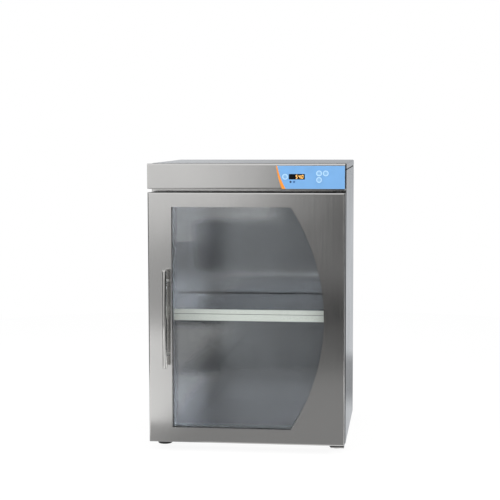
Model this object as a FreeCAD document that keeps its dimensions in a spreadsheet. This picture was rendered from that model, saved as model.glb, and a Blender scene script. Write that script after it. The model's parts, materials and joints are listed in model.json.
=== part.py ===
"""Blanket warming cabinet: a stainless case, a hinged window door, one shelf and a control header.

Frame: +Z up, the front faces -Y, X runs to the viewer's right. The origin lies on the floor,
midway across the cabinet and midway between the handle's front and the power inlet's rim.
All sizes are in millimetres.
"""
import FreeCAD, Part
import math
import os
import re
import Sketcher

# ---------------------------------------------------------------- driving dimensions

SIZES = {
    # case
    "cabinet_width": 514,
    "cabinet_depth": 500,
    "sheet": 1.2,
    "bend_radius": 4,
    "fit_gap": 0.3,
    "top_flange": 15,
    "seam_height": 3,
    "seam_depth": 5,
    "pan_flange": 18,
    # feet
    "foot_height": 17,
    "foot_radius": 19,
    "foot_taper": 1.5,
    "foot_side_inset": 25,
    "foot_front_inset": 96,
    "foot_rear_inset": 42,
    "foot_recess_radius": 8,
    "foot_recess_depth": 9,
    # door
    "door_lift": 7,
    "door_height": 658.5,
    "door_reach": 62,
    "door_thickness": 48,
    "skin_return": 12,
    "frame_bar": 30,
    "frame_rail": 26,
    "plug_drop": 50,
    "plug_setback": 29,
    "plug_radius": 4,
    "plug_head_radius": 5.5,
    "plug_length": 8,
    "pan_inset": 4,
    "glass": 4,
    "glass_lap": 10,
    "spacer_wall": 9.3,
    "pan_lap": 2,
    "gasket_width": 9,
    # window cut-out, from the door's edges
    "window_left_inset": 62.5,
    "window_right_inset": 140,
    "window_bulge_inset": 54,
    "window_low_inset": 40,
    "window_top_inset": 38,
    # handle
    "handle_inset": 48.5,
    "handle_length": 255.5,
    "handle_pitch": 192,
    "handle_radius": 6,
    "handle_axis_reach": 29.5,
    "handle_chamfer": 0.8,
    "standoff_radius": 4.5,
    "standoff_sink": 2,
    # hinge
    "hinge_inset": 19,
    "hinge_setback": 20,
    "pin_radius": 4,
    "pin_clearance": 0.05,
    "bush_wall": 2,
    "bush_length": 15,
    "bush_flange_radius": 7.5,
    "hinge_plate": 3,
    "hinge_plate_width": 34,
    "hinge_tab": 16,
    "hinge_screw_inset": 6,
    # header and controls
    "header_gap": 8.5,
    "header_height": 66,
    "header_wall": 3,
    "overlay": 0.5,
    "overlay_margin": 5.5,
    "overlay_low_margin": 1.5,
    "overlay_right_inset": 1,
    "stripe_top_inset": 177.5,
    "stripe_top_width": 3,
    "stripe_foot_inset": 162.5,
    "stripe_foot_width": 9.5,
    "stripe_left_curve": 230,
    "stripe_right_curve": 200,
    "display_inset": 144.5,
    "display_width": 41,
    "display_low": 25.5,
    "display_height": 14,
    "key_radius": 7.7,
    "key_lip": 0.7,
    "key_travel": 0.5,
    "key_proud": 1.1,
    "key_flange": 1,
    "key_stem_radius": 2,
    "key_row_high": 15.7,
    "key_row_middle": 6.9,
    "key_row_low": -1.1,
    "key_power_inset": -9.8,
    "key_column_first": 77.5,
    "key_column_second": 94.6,
    "lamp_radius": 1.6,
    "lamp_drop": 6.2,
    "lamp_inset": 4.4,
    "lamp_pitch": 9,
    "board": 1.6,
    "board_setback": 14,
    "board_left_margin": 24,
    "board_width": 136,
    "board_end_gap": 7,
    "post_radius": 2.5,
    "post_inset": 4,
    "switch_height": 5,
    "switch_half": 3,
    # chamber
    "chamber_side_room": 31,
    "chamber_low_room": 32,
    "chamber_top_room": 18.5,
    "chamber_back_room": 36.8,
    "liner": 1,
    "top_insulation": 30,
    # shelf
    "shelf_lift": 317.5,
    "shelf_side_gap": 4,
    "shelf_front_gap": 28,
    "shelf_back_gap": 20,
    "shelf_flange": 30,
    "shelf_trim": 2.4,
    "shelf_trim_bead": 1.2,
    "shelf_trim_bead_height": 4.5,
    "shelf_trim_groove": 1.2,
    "shelf_trim_groove_drop": 11.7,
    "shelf_trim_groove_depth": 1,
    "support_leg": 14,
    "support_drop": 20,
    "support_metal": 1.5,
    # heating cable
    "cable_radius": 2,
    "cable_passes": 8,
    "cable_edge": 38,
    "cable_lead_pitch": 25,
    "cable_bend": 14,
    "cable_clearance": 0.1,
    "cable_hole_radius": 3,
    # screws
    "screw_radius": 2,
    "screw_head_radius": 3.8,
    "screw_head": 2,
    "screw_length": 6,
    # electrical bay
    "inlet_width": 48,
    "inlet_height": 24,
    "inlet_rim": 3,
    "inlet_body_width": 28,
    "inlet_body_height": 20,
    "inlet_depth": 24,
    "inlet_offset": 150,
    "vent_width": 60,
    "vent_height": 4,
    "vent_pitch": 10,
    "vent_rows": 4,
    "vent_columns": 3,
    "vent_drop": 14,
    "vent_column_pitch": 90,
    "inlet_screw_inset": 5,
    "inlet_screw_head_radius": 2.8,
    "inlet_screw_head": 1,
    "inlet_wall": 2,
    "inlet_floor": 4,
    "inlet_raise": 4,
    "blade_setback": 8,
    "blade_pitch": 7,
    "blade_offset": 2,
    "blade_half_width": 1,
    "blade_half_height": 2,
    "lead_radius": 1.4,
    "lead_spread": 6,
    "lead_reach": 60,
    "lead_first_bend": 10,
    "lead_second_bend": 20,
    "bay_block_half": 30,
    # sensors
    "sensor_radius": 2.5,
    "sensor_length": 60,
    "sensor_stand": 6,
    "thermostat_radius": 9,
    "thermostat_height": 10,
    "thermostat_x": -60,
    "thermostat_setback": 105,
    "sensor_drop": 60,
    "sensor_clip_setback": 34,
    "sensor_clip_depth": 12,
    # what stands on the bay's floor
    "block_rise": 12,
    "block_over": 8,
    "block_margin": 10,
    "supply_left": 40,
    "supply_width": 110,
    "supply_front": 60,
    "supply_depth": 70,
    "supply_height": 34,
    "relay_left": -80,
    "relay_width": 30,
    "relay_front": 80,
    "relay_depth": 28,
    "relay_height": 24,
    "wire_pass_left": 60,
    "wire_pass_width": 140,
    "wire_pass_lift": 8,
    "wire_pass_drop": 18,
    "panel_flange": 14,
    "rear_screw_inset": 8,
    "rear_screw_drop": 10,
}

# ---------------------------------------------------------------- places worked out from them

PLACES = {
    "half": "cabinet_width / 2",
    "inner_half": "half - sheet",
    "inner_bend": "bend_radius - sheet",
    "face": "(handle_axis_reach + handle_radius - cabinet_depth - inlet_rim) / 2",
    "case_front": "face + door_reach",
    "rear": "face + cabinet_depth",
    "door_low": "foot_height + door_lift",
    "door_high": "door_low + door_height",
    "header_low": "door_high + header_gap",
    "top": "header_low + header_height",
    "seam_high": "top - top_flange",
    "seam_low": "seam_high - seam_height",
    "seam_lip": "inner_half - seam_depth",
    # door layers, from the face back
    "skin_back": "face + sheet",
    "door_back": "face + door_thickness",
    "pan_front": "door_back - sheet",
    "gasket_back": "case_front - fit_gap",
    # window outline
    "window_x": "window_left_inset - half",
    "window_z": "door_low + window_low_inset",
    "window_top_z": "door_high - window_top_inset",
    "window_rise": "(window_top_z - window_z) / 2",
    "window_sagitta": "window_right_inset - window_bulge_inset",
    "window_radius": "(window_rise * window_rise + window_sagitta * window_sagitta) / (2 * window_sagitta)",
    "window_centre_x": "half - window_bulge_inset - window_radius",
    # handle
    "handle_x": "handle_inset - half",
    "handle_z": "(door_low + door_high) / 2",
    "handle_y": "face - handle_axis_reach",
    # hinge
    "hinge_x": "half - hinge_inset",
    "hinge_y": "face + hinge_setback",
    "bush_radius": "pin_radius + pin_clearance + bush_wall",
    "plate_left": "hinge_x - hinge_plate_width / 2",
    "plate_front": "hinge_y - bush_flange_radius - hinge_plate",
    "top_plate_low": "header_low - hinge_plate",
    "foot_plate_high": "foot_height + hinge_plate",
    # header
    "display_x": "half - display_inset",
    "display_z": "header_low + display_low",
    "board_front": "face + board_setback",
    "switch_front": "board_front - switch_height",
    "key_flange_front": "skin_back + fit_gap",
    "key_flange_back": "key_flange_front + key_flange",
    "board_left": "display_x - board_left_margin",
    "board_right": "board_left + board_width",
    "board_low": "header_low + board_end_gap",
    "board_high": "top - board_end_gap",
    # chamber
    "chamber_half": "half - chamber_side_room",
    "chamber_low": "foot_height + chamber_low_room",
    "chamber_high": "door_high - chamber_top_room",
    "chamber_front": "case_front + sheet",
    "chamber_back": "rear - chamber_back_room",
    "liner_half": "chamber_half + liner",
    "gasket_half": "chamber_half + gasket_width",
    "gasket_low": "chamber_low - gasket_width",
    "gasket_high": "chamber_high + gasket_width",
    "bay_floor_low": "chamber_high + liner + top_insulation",
    "bay_floor_high": "bay_floor_low + sheet",
    # shelf
    "shelf_top": "chamber_low + shelf_lift",
    "shelf_low": "shelf_top - shelf_flange",
    "shelf_half": "chamber_half - shelf_side_gap",
    "shelf_front": "chamber_front + shelf_front_gap",
    "shelf_back": "chamber_back - shelf_back_gap",
    "support_top": "shelf_top - sheet - fit_gap",
    # heating cable
    "cable_x": "liner_half + cable_radius + cable_clearance",
    "wool_start": "cable_x + cable_radius + cable_clearance",
    "cable_low": "chamber_low + cable_edge",
    "cable_high": "chamber_high - cable_edge",
    "cable_pitch": "(cable_high - cable_low) / (cable_passes - 1)",
    "cable_front": "chamber_front + cable_edge",
    "cable_lead_back": "chamber_back - cable_edge / 2",
    "cable_lead_front": "cable_lead_back - cable_lead_pitch",
    "cable_turn_back": "cable_lead_front - cable_lead_pitch",
    # electrical bay
    "thermostat_top": "chamber_high + liner + thermostat_height",
    "thermostat_y": "chamber_back - thermostat_setback",
    "block_z": "bay_floor_high + block_rise",
    "inlet_x": "-inlet_offset",
    "inlet_z": "(bay_floor_high + seam_low) / 2 + inlet_raise",
    "wool_front": "chamber_front + 2 * sheet",
    "wool_rear": "rear - 2 * sheet - screw_length",
}

doc = FreeCAD.newDocument("warming_cabinet")
OWN_NAMES = re.compile(r"[a-z_]+")


def qualified(text):
    """Put the sheet's name in front of each alias that an expression uses."""
    def with_sheet(found):
        word = found.group(0)
        if word in SIZES:
            return "Sizes." + word
        if word in PLACES:
            return "Places." + word
        return word
    return OWN_NAMES.sub(with_sheet, text)


def fill_sheets():
    """Put the driving numbers in one sheet and the places worked out from them in another."""
    sizes = doc.addObject("Spreadsheet::Sheet", "Sizes")
    for row, (alias, value) in enumerate(SIZES.items(), 1):
        sizes.set(f"A{row}", alias)
        sizes.set(f"B{row}", str(value))
        sizes.setAlias(f"B{row}", alias)
    places = doc.addObject("Spreadsheet::Sheet", "Places")
    for row, alias in enumerate(PLACES, 1):
        places.set(f"A{row}", alias)
        places.setAlias(f"B{row}", alias)
    for row, formula in enumerate(PLACES.values(), 1):
        places.set(f"B{row}", "=" + qualified(formula).replace("Places.", ""))
    doc.recompute()
    return places


PLACES_SHEET = fill_sheets()
NODES = []


def number(text):
    """The present value of an expression, in millimetres."""
    value = PLACES_SHEET.evalExpression(qualified(str(text)))
    return float(getattr(value, "Value", value))


def bind(thing, prop, text):
    """Tie a property to an expression in the sheets' names."""
    thing.setExpression(prop, qualified(str(text)))


def keep(thing, node):
    """Name a finished sub-part and list it for export."""
    thing.Label = node
    NODES.append(thing)
    return thing


# ---------------------------------------------------------------- outlines for sketches

def rectangle(left, right, low, high):
    """A closed outline, anticlockwise from its lower left corner."""
    return [(left, low), (right, low), (right, high), (left, high)]


def grown(text, margin):
    """An expression with a margin added."""
    return f"{text} + ({margin})"


def window_outline(margin):
    """The D-shaped window, grown all round by a margin; its right side is one arc."""
    low = f"window_z - ({margin})"
    high = grown("window_top_z", margin)
    radius = grown("window_radius", margin)
    reach = f"({radius}) * ({radius}) - ({grown('window_rise', margin)}) * ({grown('window_rise', margin)})"
    corner = f"window_centre_x + sqrt({reach})"
    left = f"window_x - ({margin})"
    return [(left, low), (corner, low, "out", radius), (corner, high), (left, high)]


class Sketching:
    """Adds one closed loop at a time to a sketch, with every point tied to the sheets."""

    def __init__(self, sketch):
        self.sketch = sketch

    def tie(self, kind, geometry, point, text):
        value = number(text)
        index = self.sketch.addConstraint(Sketcher.Constraint(kind, -1, 1, geometry, point, value))
        bind(self.sketch, f"Constraints[{index}]", text)

    def tie_radius(self, geometry, text):
        index = self.sketch.addConstraint(Sketcher.Constraint("Radius", geometry, number(text)))
        bind(self.sketch, f"Constraints[{index}]", text)

    def circle(self, across, up, radius):
        centre = FreeCAD.Vector(number(across), number(up), 0)
        ring = Part.Circle(centre, FreeCAD.Vector(0, 0, 1), number(radius))
        geometry = self.sketch.addGeometry(ring, False)
        self.tie("DistanceX", geometry, 3, across)
        self.tie("DistanceY", geometry, 3, up)
        self.tie_radius(geometry, radius)

    def loop(self, corners):
        spots = [FreeCAD.Vector(number(c[0]), number(c[1]), 0) for c in corners]
        ends = []
        for index, corner in enumerate(corners):
            here = spots[index]
            there = spots[(index + 1) % len(spots)]
            if len(corner) == 2:
                edge = Part.LineSegment(here, there)
                ends.append((self.sketch.addGeometry(edge, False), 1, 2))
            else:
                ends.append(self.arc(here, there, corner[2] == "out", corner[3]))
        for index, (geometry, start, end) in enumerate(ends):
            follower, follower_start, _ = ends[(index + 1) % len(ends)]
            joint = Sketcher.Constraint("Coincident", geometry, end, follower, follower_start)
            self.sketch.addConstraint(joint)
            self.tie("DistanceX", geometry, start, corners[index][0])
            self.tie("DistanceY", geometry, start, corners[index][1])

    def arc(self, here, there, outward, radius_text):
        radius = number(radius_text)
        chord = there - here
        half_chord = chord.Length / 2
        left = FreeCAD.Vector(-chord.y, chord.x, 0).normalize()
        side = 1 if outward else -1
        centre = (here + there) * 0.5 + left * (side * math.sqrt(radius ** 2 - half_chord ** 2))
        first, last = (here, there) if outward else (there, here)
        angles = [math.atan2(spot.y - centre.y, spot.x - centre.x) for spot in (first, last)]
        if angles[1] < angles[0]:
            angles[1] += 2 * math.pi
        ring = Part.Circle(centre, FreeCAD.Vector(0, 0, 1), radius)
        geometry = self.sketch.addGeometry(Part.ArcOfCircle(ring, *angles), False)
        self.tie_radius(geometry, radius_text)
        return (geometry, 1, 2) if outward else (geometry, 2, 1)


class Piece:
    """A sub-part made as a body: sketches on its own origin planes, padded, pocketed and rounded.

    Plane "XZ" takes a front view, "YZ" a side view and "XY" a plan view. Each feature runs from
    start to end along the plane's missing axis, both in the cabinet's own coordinates.
    """

    def __init__(self, node, shared=False):
        """A piece that shares a node with its twins is listed by group instead."""
        self.body = doc.addObject("PartDesign::Body", node)
        if not shared:
            keep(self.body, node)

    def sketch(self, plane, loops, start):
        sketch = self.body.newObject("Sketcher::SketchObject", self.body.Name + "_sketch")
        support = next(f for f in self.body.Origin.OriginFeatures if f.Role == plane + "_Plane")
        sketch.AttachmentSupport = [(support, "")]
        sketch.MapMode = "FlatFace"
        sign = "-" if plane == "XZ" else ""
        bind(sketch, "AttachmentOffset.Base.z", f"{sign}({start})")
        drawing = Sketching(sketch)
        for loop in loops:
            if loop[0] == "circle":
                drawing.circle(*loop[1:])
            else:
                drawing.loop(loop)
        return sketch

    def feature(self, kind, plane, loops, start, end, reversed_way):
        sketch = self.sketch(plane, loops, start)
        feature = self.body.newObject("PartDesign::" + kind, self.body.Name + "_" + kind.lower())
        feature.Profile = sketch
        feature.Reversed = reversed_way
        bind(feature, "Length", f"({end}) - ({start})")
        doc.recompute()
        return feature

    def pad(self, plane, loops, start, end):
        self.feature("Pad", plane, loops, start, end, plane == "XZ")
        return self

    def pocket(self, plane, loops, start, end):
        before = self.body.Shape.Volume
        self.feature("Pocket", plane, loops, start, end, plane != "XZ")
        if not self.body.Shape.Volume < before:
            raise RuntimeError(f"a pocket of {self.body.Name} removes nothing")
        return self

    def dress(self, kind, prop, amount, chosen):
        """Fillet or chamfer the edges that chosen(edge) picks."""
        base = self.body.Tip
        edges = [f"Edge{i}" for i, edge in enumerate(base.Shape.Edges, 1) if chosen(edge)]
        feature = self.body.newObject("PartDesign::" + kind, self.body.Name + "_" + kind.lower())
        feature.Base = (base, edges)
        bind(feature, prop, amount)
        doc.recompute()
        return self

    def fillet(self, radius, chosen):
        return self.dress("Fillet", "Radius", radius, chosen)

    def chamfer(self, size, chosen):
        return self.dress("Chamfer", "Size", size, chosen)


def circle(across, up, radius):
    """A round loop for a sketch."""
    return ("circle", across, up, radius)


def near(value, target):
    """Whether two lengths are the same place."""
    return abs(value - target) < 1e-4


def lies_at(axis, text):
    """A test for edges that lie wholly in one plane across an axis."""
    place = number(text)

    def chosen(edge):
        box = edge.BoundBox
        low = getattr(box, axis + "Min")
        high = getattr(box, axis + "Max")
        return near(low, place) and near(high, place)
    return chosen


def lies_along(run, axis, text):
    """A test for edges that run along one axis, in one plane across another."""
    in_plane = lies_at(axis, text)

    def chosen(edge):
        box = edge.BoundBox
        return in_plane(edge) and getattr(box, run + "Length") > 0.9 * edge.Length
    return chosen


# ---------------------------------------------------------------- plain solids and groups

TURN = {
    "X": FreeCAD.Rotation(FreeCAD.Vector(0, 1, 0), 90),
    "Y": FreeCAD.Rotation(FreeCAD.Vector(1, 0, 0), -90),
    "Z": FreeCAD.Rotation(),
}


def block(name, across, deep, up):
    """A box between three pairs of places."""
    box = doc.addObject("Part::Box", name)
    for size, (low, high) in zip(("Length", "Width", "Height"), (across, deep, up)):
        bind(box, size, f"({high}) - ({low})")
    for axis, (low, _) in zip("xyz", (across, deep, up)):
        bind(box, "Placement.Base." + axis, low)
    return box


def rod(name, axis, centre, radius, start, end):
    """A cylinder along an axis; centre gives its two other coordinates in X, Y, Z order."""
    cylinder = doc.addObject("Part::Cylinder", name)
    bind(cylinder, "Radius", radius)
    bind(cylinder, "Height", f"({end}) - ({start})")
    cylinder.Placement = FreeCAD.Placement(FreeCAD.Vector(), TURN[axis])
    places = dict(zip([a for a in "XYZ" if a != axis], centre))
    places[axis] = start
    for letter, text in places.items():
        bind(cylinder, "Placement.Base." + letter.lower(), text)
    return cylinder


def group(node, pieces):
    """Several alike solids in one node."""
    compound = doc.addObject("Part::Compound", node)
    compound.Links = pieces
    return keep(compound, node)


def fused(name, pieces):
    """One solid from pieces that meet."""
    union = doc.addObject("Part::MultiFuse", name)
    union.Shapes = pieces
    return union


def carved(name, base, tools):
    """A solid with tools cut out of it."""
    tool = tools[0] if len(tools) == 1 else fused(name + "_tools", tools)
    cut = doc.addObject("Part::Cut", name)
    cut.Base = base
    cut.Tool = tool
    return cut


def screw(name, axis, centre, seat, sense):
    """A pan-head screw: its head's underside at seat, its shank running in the sense +1 or -1."""
    if sense > 0:
        head = rod(name + "_head", axis, centre, "screw_head_radius", f"{seat} - screw_head", seat)
        shank = rod(name + "_shank", axis, centre, "screw_radius", seat, f"{seat} + screw_length")
    else:
        head = rod(name + "_head", axis, centre, "screw_head_radius", seat, f"{seat} + screw_head")
        shank = rod(name + "_shank", axis, centre, "screw_radius", f"{seat} - screw_length", seat)
    return fused(name, [head, shank])


def screw_holes(spots):
    """Round loops that clear the screws' shanks."""
    return [circle(across, up, "screw_radius") for across, up in spots]


def tube(node, runs, radius_text):
    """Wires along straight runs joined by tangent arcs, one solid for each route."""
    solids = []
    for corners, bends in runs:
        path = rounded_path(corners, bends)
        direction = (corners[1] - corners[0]).normalize()
        ring = Part.Circle(corners[0], direction, number(radius_text))
        solid = path.makePipeShell([Part.Wire(ring.toShape())], True, False)
        expected = math.pi * number(radius_text) ** 2 * path.Length
        if abs(solid.Volume / expected - 1) > 0.01:
            raise RuntimeError(f"{node} has lost part of its length")
        solids.append(solid)
    feature = doc.addObject("Part::Feature", node)
    feature.Shape = solids[0] if len(solids) == 1 else Part.makeCompound(solids)
    return keep(feature, node)


def rounded_path(corners, bends):
    """A wire through corners, each inner one rounded by its own radius."""
    edges = []
    start = corners[0]
    for index in range(1, len(corners) - 1):
        here = corners[index]
        back = (corners[index - 1] - here).normalize()
        ahead = (corners[index + 1] - here).normalize()
        turn = math.pi - back.getAngle(ahead)
        cut = bends[index - 1] * math.tan(turn / 2)
        first = here + back * cut
        last = here + ahead * cut
        to_centre = (back + ahead).normalize() * (bends[index - 1] / math.cos(turn / 2))
        middle = here + to_centre - to_centre.normalize() * bends[index - 1]
        if (first - start).Length > 1e-4:
            edges.append(Part.LineSegment(start, first).toShape())
        edges.append(Part.Arc(first, middle, last).toShape())
        start = last
    edges.append(Part.LineSegment(start, corners[-1]).toShape())
    return Part.Wire(edges)


# ---------------------------------------------------------------- door

DOOR_FACE = rectangle("-half", "half", "door_low", "door_high")
CORE_HOLLOW = rectangle(
    "frame_bar - inner_half", "inner_half - frame_bar",
    "door_low + sheet + frame_rail", "door_high - sheet - frame_rail"
)
EDGE_PLUG = ("face + plug_setback", "door_high - plug_drop")
HANDLE_LEVELS = {
    "upper": "handle_z + handle_pitch / 2",
    "lower": "handle_z - handle_pitch / 2",
}


def make_door_skin():
    """Stainless front with a folded edge and the window's cut-out."""
    skin = Piece("door_skin")
    skin.pad("XZ", [DOOR_FACE], "face", "face + skin_return")
    skin.fillet("bend_radius", lies_at("Y", "face"))
    inside = rectangle("-inner_half", "inner_half", "door_low + sheet", "door_high - sheet")
    skin.pocket("XZ", [inside], "skin_back", "face + skin_return + sheet")
    skin.fillet("inner_bend", lies_at("Y", "skin_back"))
    skin.pocket("XZ", [window_outline("0")], "face - sheet", "skin_back + sheet")
    holes = [circle("handle_x", level, "screw_radius") for level in HANDLE_LEVELS.values()]
    skin.pocket("XZ", holes, "face - sheet", "skin_back + sheet")


def make_door_core():
    """Black moulded frame inside the skin, bored for the hinge bushes and the edge plug."""
    core = Piece("door_core_frame")
    outer = rectangle("-inner_half", "inner_half", "door_low + sheet", "door_high - sheet")
    core.pad("XZ", [outer], "skin_back", "pan_front")
    core.fillet("inner_bend", lies_at("Y", "skin_back"))
    core.pocket("XZ", [CORE_HOLLOW], "skin_back", "pan_front")
    bore = [circle("hinge_x", "hinge_y", "bush_radius")]
    core.pocket("XY", bore, "door_low", "door_low + bush_length")
    core.pocket("XY", bore, "door_high - bush_length", "door_high")
    core.pocket("YZ", [circle(*EDGE_PLUG, "plug_radius")], "inner_half - plug_length", "half")


def make_door_plug():
    """Push-in plug that closes the hole in the door's right edge."""
    head = rod("plug_head", "X", EDGE_PLUG, "plug_head_radius", "inner_half", "half")
    stem = rod("plug_stem", "X", EDGE_PLUG, "plug_radius", "inner_half - plug_length", "inner_half")
    keep(fused("door_edge_plug", [head, stem]), "door_edge_plug")


def make_door_filling():
    """Glazing stack, mineral wool and inner pan, all round the same window outline."""
    lap = "glass_lap"
    outer = Piece("window_glass_outer")
    outer.pad("XZ", [window_outline(lap)], "skin_back", "skin_back + glass")
    inner = Piece("window_glass_inner")
    inner.pad("XZ", [window_outline(lap)], "pan_front - glass", "pan_front")
    spacer = Piece("window_spacer")
    walls = [window_outline(lap), window_outline("glass_lap - spacer_wall")]
    spacer.pad("XZ", walls, "skin_back + glass", "pan_front - glass")
    wool = Piece("door_insulation")
    wool.pad("XZ", [CORE_HOLLOW, window_outline(lap)], "skin_back", "pan_front")
    sockets = [circle("handle_x", level, "screw_head_radius") for level in HANDLE_LEVELS.values()]
    wool.pocket("XZ", sockets, "skin_back", "skin_back + screw_head")
    pan = Piece("door_inner_pan")
    sheet = rectangle("pan_inset - half", "half - pan_inset", "door_low + pan_inset", "door_high - pan_inset")
    pan.pad("XZ", [sheet, window_outline("glass_lap - pan_lap")], "pan_front", "door_back")


def make_door_gasket():
    """Magnetic gasket ring that closes the gap between the door and the case."""
    gasket = Piece("door_gasket")
    outer = rectangle("-gasket_half", "gasket_half", "gasket_low", "gasket_high")
    inner = rectangle("-chamber_half", "chamber_half", "chamber_low", "chamber_high")
    gasket.pad("XZ", [outer, inner], "door_back", "gasket_back")


def make_handle():
    """Round bar on two standoffs, screwed from behind the skin."""
    ends = ("handle_z - handle_length / 2", "handle_z + handle_length / 2")
    bar = Piece("handle_bar")
    bar.pad("XY", [circle("handle_x", "handle_y", "handle_radius")], *ends)
    bar.chamfer("handle_chamfer", lambda edge: any(lies_at("Z", end)(edge) for end in ends))
    tips = "handle_y + handle_radius - standoff_sink"
    sockets = [circle("handle_x", level, "standoff_radius") for level in HANDLE_LEVELS.values()]
    bar.pocket("XZ", sockets, tips, "face")
    standoffs = []
    screws = []
    for where, level in HANDLE_LEVELS.items():
        standoff = Piece("handle_standoff_" + where, shared=True)
        standoff.pad("XZ", [circle("handle_x", level, "standoff_radius")], tips, "face")
        standoff.pocket("XZ", [circle("handle_x", level, "screw_radius")], "face - screw_length", "face")
        standoffs.append(standoff.body)
        screws.append(screw("handle_screw_" + where, "Y", ("handle_x", level), "skin_back", -1))
    group("handle_standoffs", standoffs)
    group("handle_screws", screws)


# ---------------------------------------------------------------- hinge

def make_hinge():
    """Two bracket plates on the case, a pin in each, and flanged bushes in the door."""
    centre = ("hinge_x", "hinge_y")
    plan = rectangle("plate_left", "inner_half", "plate_front", "case_front")
    levels = {
        "top": ("top_plate_low", "header_low", "header_low", "header_low + hinge_tab"),
        "bottom": ("foot_height", "foot_plate_high", "foot_plate_high", "foot_plate_high + hinge_tab"),
    }
    screws = []
    for where, (low, high, tab_low, tab_high) in levels.items():
        plate = Piece("hinge_plate_" + where)
        plate.pad("XY", [plan], low, high)
        plate.pad("XZ", [rectangle("plate_left", "inner_half", low, tab_high)], "case_front - hinge_plate",
                  "case_front")
        plate.pocket("XY", [circle(*centre, "pin_radius")], low, high)
        spots = hinge_screw_spots(tab_low)
        plate.pocket("XZ", screw_holes(spots), "case_front - hinge_plate", "case_front")
        for index, spot in enumerate(spots):
            screws.append(screw(f"hinge_screw_{where}_{index}", "Y", spot, "case_front - hinge_plate", 1))
    group("hinge_screws", screws)
    pin_end = "bush_length - fit_gap"
    top_pin = rod("top_pin", "Z", centre, "pin_radius", f"door_high - ({pin_end})", "header_low")
    foot_pin = rod("foot_pin", "Z", centre, "pin_radius", "foot_height", f"door_low + {pin_end}")
    group("hinge_pins", [top_pin, foot_pin])
    top_flange = ("door_high", "top_plate_low - fit_gap")
    foot_flange = ("foot_plate_high + fit_gap", "door_low")
    top_bush = bush("top_bush", top_flange, ("door_high - bush_length", "door_high"))
    foot_bush = bush("foot_bush", foot_flange, ("door_low", "door_low + bush_length"))
    group("hinge_bushes", [top_bush, foot_bush])


def hinge_screw_spots(tab_low):
    """Where the two screws of a hinge tab go, in front view."""
    level = f"{tab_low} + hinge_tab / 2"
    return [("plate_left + hinge_screw_inset", level), ("inner_half - hinge_screw_inset", level)]


def bush(name, flange, sleeve):
    """A flanged bush with a running bore for the pin; each of its two parts is low and high."""
    piece = Piece(name, shared=True)
    piece.pad("XY", [circle("hinge_x", "hinge_y", "bush_radius")], *sleeve)
    piece.pad("XY", [circle("hinge_x", "hinge_y", "bush_flange_radius")], *flange)
    bore = [circle("hinge_x", "hinge_y", "pin_radius + pin_clearance")]
    piece.pocket("XY", bore, f"{sleeve[0]} - bush_length", f"{sleeve[1]} + bush_length")
    return piece.body


# ---------------------------------------------------------------- case

def make_case_panels():
    """Side panels with a stepped lip that makes the dark seam, and the top cover above them."""
    for side, sign in (("left", "-"), ("right", "")):
        panel = Piece("side_panel_" + side)
        profile = [
            (f"{sign}inner_half", "foot_height"),
            (f"{sign}half", "foot_height"),
            (f"{sign}half", "seam_low"),
            (f"{sign}(seam_lip + sheet)", "seam_low"),
            (f"{sign}(seam_lip + sheet)", "top - sheet"),
            (f"{sign}seam_lip", "top - sheet"),
            (f"{sign}seam_lip", "seam_low - sheet"),
            (f"{sign}inner_half", "seam_low - sheet"),
        ]
        panel.pad("XZ", [profile], "case_front", "rear - sheet")
        bend_room = rectangle("rear - sheet - inner_bend", "rear", "top - sheet - inner_bend", "top")
        panel.pocket("YZ", [bend_room], "-half", "half")
        wall = f"{sign}inner_half"
        edge = f"{sign}(inner_half - panel_flange)"
        low = "foot_height + pan_flange"
        flange = [(wall, low), (wall, "seam_low - sheet"), (edge, "seam_low - sheet"), (edge, low)]
        panel.pad("XZ", [flange], "chamber_front", "chamber_front + sheet")
        panel.pad("XZ", [flange], "rear - 2 * sheet", "rear - sheet")
        panel.pocket("XZ", screw_holes(rear_screw_spots(side)[1:]), "rear - 2 * sheet", "rear - sheet")
        if side == "right":
            hinge_hole = hinge_screw_spots("header_low")[1]
            panel.pocket("XZ", screw_holes([hinge_hole]), "chamber_front", "chamber_front + sheet")
    cover = Piece("top_cover")
    cover.pad("XZ", [rectangle("-half", "half", "seam_high", "top")], "case_front", "rear")
    cover.fillet("bend_radius", top_cover_edges)
    inside = rectangle("-inner_half", "inner_half", "seam_high - sheet", "top - sheet")
    cover.pocket("XZ", [inside], "case_front - sheet", "rear - sheet")
    cover.fillet("inner_bend", top_cover_inner_edges)


def top_cover_edges(edge):
    """The three upper edges that are folded: left, right and rear."""
    at_top = lies_at("Z", "top")(edge)
    at_front = lies_at("Y", "case_front")(edge)
    return at_top and not at_front


def top_cover_inner_edges(edge):
    """The same three folds, on the inside."""
    at_top = lies_at("Z", "top - sheet")(edge)
    at_front = lies_at("Y", "case_front")(edge)
    return at_top and not at_front


def foot_spots():
    """Where the feet stand, by name, in plan."""
    return {
        "front_left": ("foot_side_inset - half", "face + foot_front_inset"),
        "front_right": ("half - foot_side_inset", "face + foot_front_inset"),
        "rear_left": ("foot_side_inset - half", "rear - foot_rear_inset"),
        "rear_right": ("half - foot_side_inset", "rear - foot_rear_inset"),
    }


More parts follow.
